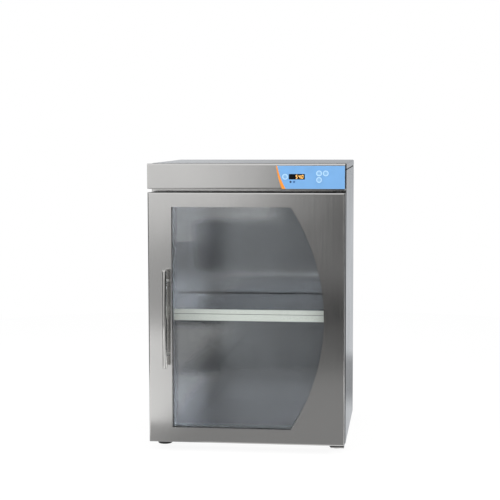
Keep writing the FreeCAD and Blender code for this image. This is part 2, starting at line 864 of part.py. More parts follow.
def make_base():
    """Base pan with an upturned edge all round, carried by four rubber feet."""
    pan = Piece("base_pan")
    plan = rectangle("-inner_half", "inner_half", "case_front + sheet", "rear - sheet")
    hollow = rectangle("sheet - inner_half", "inner_half - sheet", "wool_front - sheet", "rear - 2 * sheet")
    pan.pad("XY", [plan], "foot_height", "foot_height + pan_flange")
    pan.pocket("XY", [hollow], "foot_height + sheet", "foot_height + pan_flange + sheet")
    spots = foot_spots()
    pan.pocket("XY", screw_holes(spots.values()), "foot_height - sheet", "foot_height + 2 * sheet")
    front_holes = screw_holes(hinge_screw_spots("foot_plate_high"))
    pan.pocket("XZ", front_holes, "chamber_front", "chamber_front + sheet")
    rear_holes = screw_holes([rear_screw_spots("left")[0], rear_screw_spots("right")[0]])
    pan.pocket("XZ", rear_holes, "rear - 2 * sheet", "rear - sheet")
    screws = []
    for where, spot in spots.items():
        foot = Piece("foot_" + where)
        foot.pad("XY", [circle(*spot, "foot_radius")], "0", "foot_height")
        foot.chamfer("foot_taper", lies_at("Z", "0"))
        foot.pocket("XY", [circle(*spot, "foot_recess_radius")], "-sheet", "foot_recess_depth")
        foot.pocket("XY", [circle(*spot, "screw_radius")], "0", "foot_height")
        name = "foot_screw_" + where
        head = rod(name + "_head", "Z", spot, "screw_head_radius", "foot_recess_depth - screw_head",
                   "foot_recess_depth")
        shank = rod(name + "_shank", "Z", spot, "screw_radius", "foot_recess_depth", "foot_height + sheet")
        screws.append(fused(name, [head, shank]))
    group("foot_screws", screws)


def make_front_frame():
    """Flat ring that closes the case round the chamber's mouth and carries the hinge plates."""
    frame = Piece("front_frame")
    outline = [
        ("-inner_half", "foot_height"),
        ("inner_half", "foot_height"),
        ("inner_half", "seam_low - sheet"),
        ("seam_lip", "seam_low - sheet"),
        ("seam_lip", "top - sheet"),
        ("-seam_lip", "top - sheet"),
        ("-seam_lip", "seam_low - sheet"),
        ("-inner_half", "seam_low - sheet"),
    ]
    mouth = rectangle("-chamber_half", "chamber_half", "chamber_low", "chamber_high")
    wire_pass = rectangle(
        "wire_pass_left", "wire_pass_left + wire_pass_width",
        "bay_floor_high + wire_pass_lift", "top - wire_pass_drop"
    )
    frame.pad("XZ", [outline, mouth, wire_pass], "case_front", "chamber_front")
    spots = hinge_screw_spots("header_low") + hinge_screw_spots("foot_plate_high")
    frame.pocket("XZ", screw_holes(spots), "case_front", "chamber_front")


def make_rear_cover():
    """Rear panel with cooling slots for the electrical bay and the inlet's cut-out."""
    rear = Piece("rear_cover")
    slots = []
    for row in range(int(number("vent_rows"))):
        high = f"seam_low - vent_drop - {row} * vent_pitch"
        for column in range(int(number("vent_columns"))):
            left = f"{column} * vent_column_pitch - vent_width / 2"
            slots.append(rectangle(left, f"{left} + vent_width", f"{high} - vent_height", high))
    inlet = rectangle(
        "inlet_x - inlet_body_width / 2", "inlet_x + inlet_body_width / 2",
        "inlet_z - inlet_body_height / 2", "inlet_z + inlet_body_height / 2"
    )
    outline = rectangle("-inner_half", "inner_half", "foot_height", "seam_high - fit_gap")
    rear.pad("XZ", [outline, inlet] + slots, "rear - sheet", "rear")
    spots = rear_screw_spots("left") + rear_screw_spots("right")
    rear.pocket("XZ", screw_holes(spots + inlet_screw_spots()), "rear - sheet", "rear")
    screws = [screw(f"rear_screw_{i}", "Y", spot, "rear", -1) for i, spot in enumerate(spots)]
    group("rear_cover_screws", screws)


def rear_screw_spots(side):
    """Where one edge of the rear cover is screwed on, lowest first, in front view."""
    across = "rear_screw_inset - inner_half" if side == "left" else "inner_half - rear_screw_inset"
    levels = ["foot_height + pan_flange / 2", "(foot_height + seam_low) / 2", "seam_low - rear_screw_drop"]
    return [(across, level) for level in levels]


def make_chamber():
    """Liner, its insulation and the floor of the electrical bay above it."""
    liner = Piece("chamber_liner")
    skin = "liner"
    outer = rectangle("-liner_half", "liner_half", f"chamber_low - {skin}", f"chamber_high + {skin}")
    liner.pad("XZ", [outer], "chamber_front", f"chamber_back + {skin}")
    inner = rectangle("-chamber_half", "chamber_half", "chamber_low", "chamber_high")
    liner.pocket("XZ", [inner], "chamber_front - sheet", "chamber_back")
    deep = ("wool_front", f"chamber_back + {skin}")
    wool_low = "foot_height + sheet"
    top_low = f"chamber_high + {skin}"
    slabs = []
    for side, sign in (("left", "-1"), ("right", "1")):
        wool = Piece("wool_" + side, shared=True)
        edges = [f"{sign} * wool_start", f"{sign} * (inner_half - sheet)"]
        if side == "left":
            edges.reverse()
        wool.pad("XZ", [rectangle(*edges, f"{wool_low} + pan_flange", "bay_floor_low")], *deep)
        slabs.append(wool.body)
    wide = ("-wool_start", "wool_start")
    roof = block("wool_top", wide, deep, (top_low, "bay_floor_low"))
    rooms = [cable_slot(side) for side in ("left", "right")] + [thermostat_room()]
    slabs.append(carved("wool_top_carved", roof, rooms))
    slabs.append(block("wool_bottom", wide, deep, (wool_low, f"chamber_low - {skin}")))
    full = ("sheet - inner_half", "inner_half - sheet")
    back = (f"chamber_back + {skin}", "wool_rear")
    slabs.append(block("wool_back", full, back, (f"{wool_low} + pan_flange", "bay_floor_low")))
    group("chamber_insulation", slabs)
    floor = Piece("bay_floor")
    plan = rectangle("sheet - inner_half", "inner_half - sheet", "wool_front", "wool_rear")
    holes = []
    for sign in ("-1", "1"):
        for place in ("cable_lead_back", "cable_lead_front"):
            holes.append(circle(f"{sign} * cable_x", place, "cable_hole_radius"))
    floor.pad("XY", [plan] + holes, "bay_floor_low", "bay_floor_high")


THERMOSTAT = ("thermostat_x", "thermostat_y")


def cable_slot(side):
    """The room in the top insulation where a heating cable's two ends come up."""
    low, high = ("-wool_start", "-liner_half") if side == "left" else ("liner_half", "wool_start")
    deep = ("cable_lead_front - 2 * cable_radius", "cable_lead_back + 2 * cable_radius")
    return block("cable_slot_" + side, (low, high), deep, ("chamber_high", "bay_floor_high"))


def thermostat_room():
    """The room in the top insulation round the limit thermostat."""
    return rod("thermostat_room", "Z", THERMOSTAT, "thermostat_radius", "chamber_high", "thermostat_top")


def make_heating_cables():
    """One serpentine of heating cable on each side wall; both its ends come up into the bay."""
    passes = int(number("cable_passes"))
    pitch = number("cable_pitch")
    front = number("cable_front")
    turn_back = number("cable_turn_back")
    lead_back = number("cable_lead_back")
    lead_front = number("cable_lead_front")
    low = number("cable_low")
    up = number("block_z")
    bend = number("cable_bend")
    end = number("bay_block_half") + bend
    runs = []
    for sign in (-1, 1):
        x = sign * number("cable_x")
        corners = [FreeCAD.Vector(sign * end, lead_back, up), FreeCAD.Vector(x, lead_back, up)]
        corners.append(FreeCAD.Vector(x, lead_back, low))
        bends = [bend, bend]
        for index in range(passes):
            level = low + index * pitch
            forward = index % 2 == 0
            last = index == passes - 1
            stop = front if forward else (lead_front if last else turn_back)
            corners.append(FreeCAD.Vector(x, stop, level))
            bends.append(bend if last else pitch / 2)
            if not last:
                corners.append(FreeCAD.Vector(x, stop, level + pitch))
                bends.append(pitch / 2)
        corners.append(FreeCAD.Vector(x, lead_front, up))
        bends.append(bend)
        corners.append(FreeCAD.Vector(sign * end, lead_front, up))
        runs.append((corners, bends))
    tube("heating_cables", runs, "cable_radius")


# ---------------------------------------------------------------- shelf and chamber fittings

def make_shelf():
    """Folded shelf with a cream rail on its front, on two angles riveted to the liner."""
    shelf = Piece("shelf")
    profile = [
        ("shelf_front", "shelf_low"),
        ("shelf_front + sheet", "shelf_low"),
        ("shelf_front + sheet", "shelf_top - sheet"),
        ("shelf_back - sheet", "shelf_top - sheet"),
        ("shelf_back - sheet", "shelf_low"),
        ("shelf_back", "shelf_low"),
        ("shelf_back", "shelf_top"),
        ("shelf_front", "shelf_top"),
    ]
    shelf.pad("YZ", [profile], "-shelf_half", "shelf_half")
    rail = Piece("shelf_front_rail")
    bead = "shelf_front - shelf_trim - shelf_trim_bead"
    front = "shelf_front - shelf_trim"
    groove = f"{front} + shelf_trim_groove_depth"
    groove_high = "shelf_top - shelf_trim_groove_drop"
    groove_low = f"{groove_high} - shelf_trim_groove"
    outline = [
        (bead, "shelf_low"),
        ("shelf_front", "shelf_low"),
        ("shelf_front", "shelf_top"),
        (front, "shelf_top"),
        (front, groove_high),
        (groove, groove_high),
        (groove, groove_low),
        (front, groove_low),
        (front, "shelf_low + shelf_trim_bead_height"),
        (bead, "shelf_low + shelf_trim_bead_height"),
    ]
    rail.pad("YZ", [outline], "-shelf_half", "shelf_half")
    for side, sign in (("left", "-1"), ("right", "1")):
        support = Piece("shelf_support_" + side)
        wall = f"{sign} * chamber_half"
        tip = f"{sign} * (chamber_half - support_leg)"
        skin = f"{sign} * (chamber_half - support_metal)"
        low = "support_top - support_drop"
        bed = "support_top - support_metal"
        high = "support_top"
        angle = [(wall, low), (wall, high), (tip, high), (tip, bed), (skin, bed), (skin, low)]
        support.pad("XZ", [angle], "shelf_front + 3 * sheet", "shelf_back - 3 * sheet")


def make_sensors():
    """Air sensor and its clip inside the chamber, and the limit thermostat on its roof."""
    centre = ("chamber_half - sensor_stand", "chamber_high - sensor_drop")
    sensor = rod("sensor_rod", "Y", centre, "sensor_radius", "chamber_back - sensor_length", "chamber_back")
    keep(sensor, "air_sensor")
    clip = Piece("sensor_clip")
    plate = rectangle(
        "chamber_half - 2 * sensor_stand", "chamber_half",
        f"{centre[1]} - sensor_stand", f"{centre[1]} + sensor_stand"
    )
    clip_back = "chamber_back - sensor_clip_setback"
    clip.pad("XZ", [plate, circle(*centre, "sensor_radius")], f"{clip_back} - sensor_clip_depth", clip_back)
    seat = "chamber_high + liner"
    disc = rod("thermostat_disc", "Z", THERMOSTAT, "thermostat_radius", seat, "thermostat_top")
    keep(disc, "limit_thermostat")


# ---------------------------------------------------------------- header and controls

KEYS = {
    "power": ("display_x + key_power_inset", "display_z + key_row_middle"),
    "up": ("display_x + key_column_first", "display_z + key_row_high"),
    "down": ("display_x + key_column_first", "display_z + key_row_low"),
    "set": ("display_x + key_column_second", "display_z + key_row_high"),
}
LAMPS = [
    ("display_x + lamp_inset", "display_z - lamp_drop"),
    ("display_x + lamp_inset + lamp_pitch", "display_z - lamp_drop"),
]


def key_loops(radius):
    """A round loop at each key's place."""
    return [circle(*spot, radius) for spot in KEYS.values()]


def display_loop():
    """The display's outline in front view."""
    return rectangle("display_x", "display_x + display_width", "display_z", "display_z + display_height")


def make_header():
    """Folded fascia over the door, on a black frame that stands on the front of the case."""
    header = Piece("header_shell")
    header.pad("XZ", [rectangle("-half", "half", "header_low", "top")], "face", "face + skin_return")
    header.fillet("bend_radius", lies_along("X", "Y", "face"))
    inside = rectangle("-half - sheet", "half + sheet", "header_low + sheet", "top - sheet")
    header.pocket("XZ", [inside], "skin_back", "face + skin_return + sheet")
    header.fillet("inner_bend", lies_along("X", "Y", "skin_back"))
    holes = key_loops("key_radius + fit_gap") + [display_loop()]
    holes += [circle(*spot, "lamp_radius") for spot in LAMPS]
    header.pocket("XZ", holes, "face - sheet", "skin_back + sheet")
    frame = Piece("header_frame")
    outer = rectangle("fit_gap - half", "half - fit_gap", "header_low + sheet", "top - sheet")
    frame.pad("XZ", [outer], "skin_back", "case_front")
    frame.fillet("inner_bend", lies_along("X", "Y", "skin_back"))
    hollow = rectangle(
        "fit_gap + header_wall - half", "half - fit_gap - header_wall",
        "header_low + sheet + header_wall", "top - sheet - header_wall"
    )
    frame.pocket("XZ", [hollow], "skin_back - sheet", "case_front + sheet")
    tab_room = rectangle("plate_left - fit_gap", "half", "header_low", "header_low + hinge_tab + fit_gap")
    frame.pocket("XZ", [tab_room], "case_front - hinge_plate - screw_head - fit_gap", "case_front + sheet")


def make_overlay():
    """Blue control film with a tapering orange stripe along its slanting left edge."""
    low = "header_low + overlay_low_margin"
    high = "top - overlay_margin"
    right = "half - overlay_right_inset"
    tip = "half - stripe_top_inset"
    tip_right = f"{tip} + stripe_top_width"
    heel = "half - stripe_foot_inset"
    heel_right = f"{heel} + stripe_foot_width"
    overlay = Piece("control_overlay")
    outline = [
        (heel_right, low),
        (right, low),
        (right, high),
        (tip_right, high, "out", "stripe_right_curve"),
    ]
    holes = key_loops("key_radius + fit_gap") + [display_loop()]
    holes += [circle(*spot, "lamp_radius") for spot in LAMPS]
    overlay.pad("XZ", [outline] + holes, "face - overlay", "face")
    stripe = Piece("overlay_stripe")
    band = [
        (heel, low),
        (heel_right, low, "in", "stripe_right_curve"),
        (tip_right, high),
        (tip, high, "out", "stripe_left_curve"),
    ]
    stripe.pad("XZ", [band], "face - overlay", "face")


def make_controls():
    """Display, lamps, keys and the board that carries their switches."""
    window = Piece("display_window")
    window.pad("XZ", [display_loop()], "face - overlay", "skin_back")
    across = ("display_x", "display_x + display_width")
    up = ("display_z", "display_z + display_height")
    keep(block("display_module", across, ("skin_back", "board_front"), up), "display_module")
    lamps = []
    switches = []
    for index, spot in enumerate(LAMPS):
        lamps.append(rod(f"lamp_{index}", "Y", spot, "lamp_radius", "face - overlay", "board_front"))
    group("indicator_lamps", lamps)
    for name, (across, up) in KEYS.items():
        key = Piece("key_" + name)
        key.pad("XZ", [circle(across, up, "key_radius")], "face - key_proud", "key_flange_front")
        key.pad("XZ", [circle(across, up, "key_radius + key_lip")], "key_flange_front", "key_flange_back")
        stem = [circle(across, up, "key_stem_radius")]
        key.pad("XZ", stem, "key_flange_back", "switch_front - key_travel - fit_gap")
        key.fillet("fit_gap", lies_at("Y", "face - key_proud"))
        sides = (f"{across} - switch_half", f"{across} + switch_half")
        ends = (f"{up} - switch_half", f"{up} + switch_half")
        switches.append(block("switch_" + name, sides, ("switch_front", "board_front"), ends))
    group("key_switches", switches)
    deep = ("board_front", "board_front + board")
    board = block("board_plate", ("board_left", "board_right"), deep, ("board_low", "board_high"))
    keep(board, "control_board")
    posts = []
    for place in ("board_left + post_inset", "board_right - post_inset"):
        for level in ("board_low + post_inset", "board_high - post_inset"):
            name = f"post_{len(posts)}"
            posts.append(rod(name, "Y", (place, level), "post_radius", "skin_back", "board_front"))
    group("board_standoffs", posts)


# ---------------------------------------------------------------- electrical bay

def inlet_screw_spots():
    """The inlet's two fixing screws, in front view."""
    reach = "inlet_width / 2 - inlet_screw_inset"
    return [(f"inlet_x - ({reach})", "inlet_z"), (f"inlet_x + {reach}", "inlet_z")]


def make_electrics():
    """Mains inlet, terminal block, relay and power supply on the bay's floor."""
    inlet = Piece("power_inlet")
    half_wide = "inlet_body_width / 2"
    half_high = "inlet_body_height / 2"
    body = rectangle(f"inlet_x - {half_wide}", f"inlet_x + {half_wide}",
                     f"inlet_z - {half_high}", f"inlet_z + {half_high}")
    rim = rectangle("inlet_x - inlet_width / 2", "inlet_x + inlet_width / 2",
                    "inlet_z - inlet_height / 2", "inlet_z + inlet_height / 2")
    inlet.pad("XZ", [body], "rear - sheet - inlet_depth", "rear")
    inlet.pad("XZ", [rim], "rear", "rear + inlet_rim")
    socket = rectangle(f"inlet_x - {half_wide} + inlet_wall", f"inlet_x + {half_wide} - inlet_wall",
                       f"inlet_z - {half_high} + inlet_wall", f"inlet_z + {half_high} - inlet_wall")
    socket_floor = "rear - inlet_depth + inlet_floor"
    inlet.pocket("XZ", [socket], socket_floor, "rear + inlet_rim")
    blades = []
    outer_rise = "-blade_offset"
    for shift, rise in (("-blade_pitch", outer_rise), ("0", "blade_offset"), ("blade_pitch", outer_rise)):
        across = f"inlet_x + ({shift})"
        up = f"inlet_z + ({rise})"
        blades.append(rectangle(f"{across} - blade_half_width", f"{across} + blade_half_width",
                                f"{up} - blade_half_height", f"{up} + blade_half_height"))
    inlet.pad("XZ", blades, socket_floor, "rear - blade_setback")
    spots = inlet_screw_spots()
    head_seat = "rear + inlet_rim - inlet_screw_head"
    inlet.pocket("XZ", screw_holes(spots), "rear", "rear + inlet_rim")
    recesses = [circle(*spot, "inlet_screw_head_radius") for spot in spots]
    inlet.pocket("XZ", recesses, head_seat, "rear + inlet_rim")
    screws = []
    for index, spot in enumerate(spots):
        name = f"inlet_screw_{index}"
        head = rod(name + "_head", "Y", spot, "inlet_screw_head_radius", head_seat, "rear + inlet_rim")
        shank = rod(name + "_shank", "Y", spot, "screw_radius", "rear - screw_length", head_seat)
        screws.append(fused(name, [head, shank]))
    group("inlet_screws", screws)
    deep = ("cable_lead_front - block_margin", "cable_lead_back + block_margin")
    stand("terminal_block", ("-bay_block_half", "bay_block_half"), deep, "block_rise + block_over")
    stand("power_supply", ("supply_left", "supply_left + supply_width"),
          ("chamber_front + supply_front", "chamber_front + supply_front + supply_depth"), "supply_height")
    stand("heater_relay", ("relay_left", "relay_left + relay_width"),
          ("chamber_front + relay_front", "chamber_front + relay_front + relay_depth"), "relay_height")


def stand(node, across, deep, height):
    """A component that stands on the bay's floor."""
    keep(block(node, across, deep, ("bay_floor_high", f"bay_floor_high + {height}")), node)


def make_leads():
    """The two mains leads from the inlet to the terminal block, held inside the bay."""
    inlet_y = number("rear - sheet - inlet_depth")
    inlet_x = number("inlet_x")
    inlet_z = number("inlet_z")
    block_x = number("-bay_block_half")
    block_z = number("block_z")
    mid_y = number("(cable_lead_front + cable_lead_back) / 2")
    turn_x = inlet_x + number("lead_reach")
    spread = number("lead_spread")
    bends = [number("lead_first_bend"), number("lead_second_bend")]
    runs = []
    for offset in (-spread, spread):
        lane = mid_y + offset / 2
        corners = [
            FreeCAD.Vector(inlet_x + offset, inlet_y, inlet_z),
            FreeCAD.Vector(inlet_x + offset, lane, inlet_z),
            FreeCAD.Vector(turn_x, lane, block_z),
            FreeCAD.Vector(block_x, lane, block_z),
        ]
        runs.append((corners, bends))
    tube("inlet_leads", runs, "lead_radius")


def build():
    """Make every sub-part."""
    make_door_skin()
    make_door_core()
    make_door_plug()
    make_door_filling()
    make_door_gasket()
    make_handle()
    make_hinge()
    make_case_panels()
    make_base()
    make_front_frame()
    make_rear_cover()
    make_chamber()
    make_heating_cables()
    make_shelf()
    make_sensors()
    make_header()
    make_overlay()
    make_controls()
    make_electrics()
    make_leads()


def export():
    """Check every object and write one STEP file for each sub-part."""
    doc.recompute()
    for thing in doc.Objects:
        if "Invalid" in thing.State or "Error" in thing.State:
            raise RuntimeError(f"{thing.Label} did not build")
    for piece in NODES:
        if piece.Shape.isNull() or not piece.Shape.isValid():
            raise RuntimeError(f"{piece.Label} has no valid shape")
    os.makedirs("parts", exist_ok=True)
    for piece in NODES:
        piece.Shape.exportStep(f"parts/{piece.Label}.step")
    print(len(NODES), "sub-parts")


build()
export()
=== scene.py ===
"""Looks of the blanket warming cabinet: materials, small pieces, stage, lights and camera.

Metres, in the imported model's frame: +Z up, the door faces -Y, X runs to the viewer's right.
"""
import json
import math

import bmesh
import bpy
from mathutils import Matrix, Vector


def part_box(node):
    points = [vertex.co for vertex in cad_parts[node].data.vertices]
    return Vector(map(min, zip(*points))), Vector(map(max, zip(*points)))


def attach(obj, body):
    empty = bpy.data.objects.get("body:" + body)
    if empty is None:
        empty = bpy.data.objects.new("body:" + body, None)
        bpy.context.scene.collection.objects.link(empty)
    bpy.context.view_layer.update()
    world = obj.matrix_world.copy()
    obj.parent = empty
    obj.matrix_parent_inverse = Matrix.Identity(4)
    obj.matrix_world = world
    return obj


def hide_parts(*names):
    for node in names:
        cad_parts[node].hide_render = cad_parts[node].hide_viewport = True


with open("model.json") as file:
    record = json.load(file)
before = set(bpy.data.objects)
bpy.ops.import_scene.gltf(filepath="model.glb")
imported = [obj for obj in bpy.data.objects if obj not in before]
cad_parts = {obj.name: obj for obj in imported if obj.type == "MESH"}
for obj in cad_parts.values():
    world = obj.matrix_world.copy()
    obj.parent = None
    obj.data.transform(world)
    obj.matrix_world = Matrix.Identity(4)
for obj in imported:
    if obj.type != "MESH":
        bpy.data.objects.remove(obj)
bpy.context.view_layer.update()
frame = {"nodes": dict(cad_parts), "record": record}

MM = 0.001
FULL_TURN = 2 * math.pi
NODES = frame["nodes"]
SLOT_OF = {part["node"]: part["material_slot"] for part in frame["record"]["subparts"]}


# ---------------------------------------------------------------- camera

CAMERA_PLACE = (0.4255, -3.6598, 0.8385)
CAMERA_YAW = math.radians(-6.886)
CAMERA_PITCH = math.radians(-5.040)
CAMERA_ROLL = math.radians(-0.124)
CAMERA_LENS = 96.515
CAMERA_SENSOR = 36
CAMERA_REACH = 50


def make_camera():
    """The camera at the photograph's place; with all angles at 0 it looks level along +Y."""
    data = bpy.data.cameras.new("camera")
    data.lens = CAMERA_LENS
    data.sensor_width = CAMERA_SENSOR
    data.clip_end = CAMERA_REACH
    camera = bpy.data.objects.new("camera", data)
    bpy.context.scene.collection.objects.link(camera)
    yaw = Matrix.Rotation(-CAMERA_YAW, 4, "Z")
    pitch = Matrix.Rotation(math.pi / 2 + CAMERA_PITCH, 4, "X")
    roll = Matrix.Rotation(CAMERA_ROLL, 4, "Z")
    camera.matrix_world = Matrix.Translation(CAMERA_PLACE) @ yaw @ pitch @ roll
    bpy.context.scene.camera = camera


# ---------------------------------------------------------------- node trees

class Tree:
    """Adds nodes to a material's or a world's tree."""

    def __init__(self, owner):
        owner.use_nodes = True
        self.tree = owner.node_tree

    def node(self, kind, inputs=(), **settings):
        """Add a node; inputs maps socket names or numbers to values or to sockets to link."""
        made = self.tree.nodes.new("ShaderNode" + kind)
        for name, value in settings.items():
            setattr(made, name, value)
        for name, value in dict(inputs).items():
            self.feed(made.inputs[name], value)
        return made

    def feed(self, socket, value):
        """Link a socket to another one, or set its own value."""
        if isinstance(value, bpy.types.NodeSocket):
            self.tree.links.new(value, socket)
        else:
            socket.default_value = value

    def made(self, kind, inputs=(), **settings):
        """The first output of a new node."""
        return self.node(kind, inputs, **settings).outputs[0]

    def math(self, operation, first, second):
        """Two numbers put together."""
        return self.made("Math", {0: first, 1: second}, operation=operation)

    def mix_shaders(self, factor, first, second):
        """Two shaders mixed by a factor; 0 gives the first."""
        return self.made("MixShader", {0: factor, 1: first, 2: second})


class Shading(Tree):
    """One material with the main shader; textures run in the object's own metres."""

    def __init__(self, name):
        self.material = bpy.data.materials.new(name)
        super().__init__(self.material)
        self.shader = self.tree.nodes["Principled BSDF"]
        self.place = self.node("TexCoord").outputs["Object"]

    def surface(self, **values):
        """Set the main shader's sockets, spaces in their names written as underscores."""
        for name, value in values.items():
            self.feed(self.shader.inputs[name.replace("_", " ")], value)

    def noise(self, scale, stretch=(1, 1, 1), detail=3, shift=(0, 0, 0)):
        """Noise of scale features to the metre, multiplied along each axis by stretch."""
        inputs = {"Vector": self.place, "Scale": stretch, "Location": shift}
        place = self.made("Mapping", inputs)
        return self.made("TexNoise", {"Vector": place, "Scale": scale, "Detail": detail})

    def spread(self, value, low, high, start=0.3, end=0.7):
        """A value's range start to end laid onto low to high."""
        inputs = {"Value": value, "From Min": start, "From Max": end, "To Min": low, "To Max": high}
        return self.made("MapRange", inputs)

    def around(self, value, middle, swing):
        """A noise value laid onto a band round a middle."""
        return self.spread(value, middle - swing, middle + swing)

    def blend(self, factor, first, second):
        """Two colours mixed by a factor."""
        mix = self.node("Mix", data_type="RGBA")
        self.feed(mix.inputs[0], factor)
        self.feed(mix.inputs[6], first)
        self.feed(mix.inputs[7], second)
        return mix.outputs[2]

    def shades(self, value, colour, darker, lighter):
        """A noise value laid onto a colour between a darker and a lighter shade of it."""
        return self.blend(self.spread(value, 0, 1), shade(colour, darker), shade(colour, lighter))

    def add(self, first, second):
        """Two numbers added."""
        return self.math("ADD", first, second)

    def bump(self, height, depth, under=None):
        """A bump of a depth in metres, laid over another one."""
        inputs = {"Height": height, "Distance": depth, "Strength": 1.0}
        if under is not None:
            inputs["Normal"] = under
        return self.made("Bump", inputs)


# ---------------------------------------------------------------- finishes

def shade(colour, factor):
    """A colour made lighter or darker."""
    return tuple(min(1, channel * factor) for channel in colour[:3]) + (1,)


AXES = {"X": 0, "Y": 1, "Z": 2}
GRAIN_STRETCH = 0.006
FINE_GRAIN = 2600
COARSE_GRAIN = 520
FINE_SHARE = 0.65
HANDLING_SCALE = 4
BUCKLE_SCALE = 3.2
GRAIN_DEPTH = 0.000007
GRAIN_GLOSS = 0.03
STEEL_EDGE = (0.50, 0.53, 0.57, 1)


def brushed(name, colour, roughness, grain, across, anisotropy=0.6, waves=0.0):
    """Brushed metal: grain is the axis that its lines run along, across the way that they blur.

    Waves is the depth in metres of the sheet's slow buckling.
    """
    s = Shading(name)
    lines = [1.0, 1.0, 1.0]
    lines[AXES[grain]] = GRAIN_STRETCH
    fine = s.noise(FINE_GRAIN, lines, detail=2)
    coarse = s.noise(COARSE_GRAIN, lines, detail=3, shift=(0.3, 0.1, 0.7))
    handled = s.noise(HANDLING_SCALE, detail=4)
    fine_part = s.math("MULTIPLY", fine, FINE_SHARE)
    coarse_part = s.math("MULTIPLY", coarse, 1 - FINE_SHARE)
    streaks = s.add(fine_part, coarse_part)
    tone = s.shades(streaks, colour, 0.95, 1.04)
    stain = s.shades(handled, colour, 0.98, 1.02)
    buckle = s.bump(s.noise(BUCKLE_SCALE, detail=1), waves)
    gloss = s.around(streaks, roughness, GRAIN_GLOSS)
    s.surface(
        Base_Color=s.blend(0.5, tone, stain),
        Metallic=1.0,
        Specular_Tint=STEEL_EDGE,
        Roughness=s.add(gloss, s.around(handled, 0, GRAIN_GLOSS)),
        Anisotropic=anisotropy,
        Normal=s.bump(streaks, GRAIN_DEPTH, buckle),
    )
    tangent = s.made("CombineXYZ", dict(enumerate(across)))
    turned = s.made("VectorTransform", {0: tangent}, convert_from="OBJECT", convert_to="WORLD")
    s.feed(s.shader.inputs["Tangent"], turned)
    return s.material


def annealed(name, colour, roughness):
    """Bright annealed sheet: almost a mirror, with faint rolling lines and fingerprints' dullness."""
    s = Shading(name)
    rolling = s.noise(900, (1, 1, 0.01), detail=2)
    dull = s.noise(14, (1, 1, 0.6), detail=5)
    s.surface(
        Base_Color=s.shades(dull, colour, 0.97, 1.02),
        Metallic=1.0,
        Roughness=s.add(s.around(rolling, roughness, 0.015), s.spread(dull, -0.01, 0.03)),
        Normal=s.bump(s.noise(5, detail=1), 0.00008),
    )
    return s.material


def polished(name, colour, roughness):
    """Turned and polished steel with faint rubbing marks."""
    s = Shading(name)
    marks = s.noise(900, (1, 1, 0.15), detail=3)
    smear = s.noise(40, detail=3)
    s.surface(
        Base_Color=s.shades(smear, colour, 0.96, 1.03),
        Metallic=1.0,
        Roughness=s.add(s.around(marks, roughness, 0.03), s.spread(smear, -0.03, 0.04)),
        Normal=s.bump(marks, 0.000006),
    )
    return s.material


def moulded(name, colour, roughness, grain_depth=0.00003, grain_scale=1400, specular=0.5):
    """Moulded plastic or rubber with a spark-eroded grain and a little dust."""
    s = Shading(name)
    grain = s.noise(grain_scale, detail=2)
    dust = s.noise(60, detail=5)
    dusty = s.spread(dust, 0, 1, 0.45, 0.8)
    s.surface(
        Base_Color=s.blend(dusty, shade(colour, 0.95), shade(colour, 1.25)),
        Roughness=s.add(s.around(grain, roughness, 0.05), s.spread(dust, -0.04, 0.06)),
        Specular_IOR_Level=specular,
        Normal=s.bump(grain, grain_depth),
    )
    return s.material


def film(name, colour, roughness=0.38, specular=0.5):
    """Printed polycarbonate film with a fine velvet texture."""
    s = Shading(name)
    texture = s.noise(3500, detail=1)
    print_tone = s.noise(35, detail=2)
    s.surface(
        Base_Color=s.shades(print_tone, colour, 0.97, 1.03),
        Roughness=s.around(texture, roughness, 0.06),
        Specular_IOR_Level=specular,
        Normal=s.bump(texture, 0.000008),
    )
    return s.material


def glass(name):
    """Clear pane; light falls straight through it, and faint wiping marks dull its gloss."""
    s = Shading(name)
    wiped = s.noise(9, (1, 1, 2.5), detail=4)
    tint = (0.955, 0.965, 0.96, 1)
    s.surface(
        Base_Color=tint,
        Transmission_Weight=1.0,
        IOR=1.5,
        Roughness=s.spread(wiped, 0.0, 0.02, 0.45, 0.8),
    )
    clear = s.made("BsdfTransparent", {"Color": tint})
    rays = s.node("LightPath").outputs
    through = s.math("MAXIMUM", rays["Is Shadow Ray"], rays["Is Diffuse Ray"])
    mix = s.mix_shaders(through, s.shader.outputs[0], clear)
    s.feed(s.tree.nodes["Material Output"].inputs["Surface"], mix)
    return s.material


LAMP_NAVY = (0.004, 0.012, 0.05, 1)
LAMP_BLUE = (0.02, 0.10, 0.26, 1)
LAMP_FACET = (0.05, 0.12, 0.25, 1)


def lamp_lenses(name):
    """Two lamp lenses, the left one navy and the right one a lighter blue."""
    s = Shading(name)
    across = s.made("SeparateXYZ", {0: s.place})
    between = sum(corner[0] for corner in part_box("indicator_lamps")) / 2
    side = s.math("GREATER_THAN", across, between)
    facets = s.noise(2500, detail=1)
    tone = s.blend(side, LAMP_NAVY, LAMP_BLUE)
    s.surface(
        Base_Color=s.blend(s.spread(facets, 0, 0.4), tone, LAMP_FACET),
        Roughness=s.spread(facets, 0.1, 0.25),
        Normal=s.bump(facets, 0.00002),
    )
    return s.material


def wool(name, colour):
    """Mineral wool: matted fibres in soft clumps."""
    s = Shading(name)
    fibres = s.noise(700, (1, 1, 0.35), detail=6)
    clumps = s.noise(45, detail=4)
    s.surface(
        Base_Color=s.shades(clumps, colour, 0.78, 1.12),
        Roughness=s.spread(fibres, 0.85, 1.0),
        Sheen_Weight=0.3,
        Normal=s.bump(clumps, 0.001, s.bump(fibres, 0.0006)),
    )
    return s.material


def painted(name, colour, roughness):
    """Powder coat with a slight orange peel."""
    s = Shading(name)
    peel = s.noise(500, detail=2)
    tone = s.noise(18, detail=3)
    s.surface(
        Base_Color=s.shades(tone, colour, 0.97, 1.02),
        Roughness=s.around(peel, roughness, 0.05),
        Normal=s.bump(peel, 0.00002),
    )
    return s.material


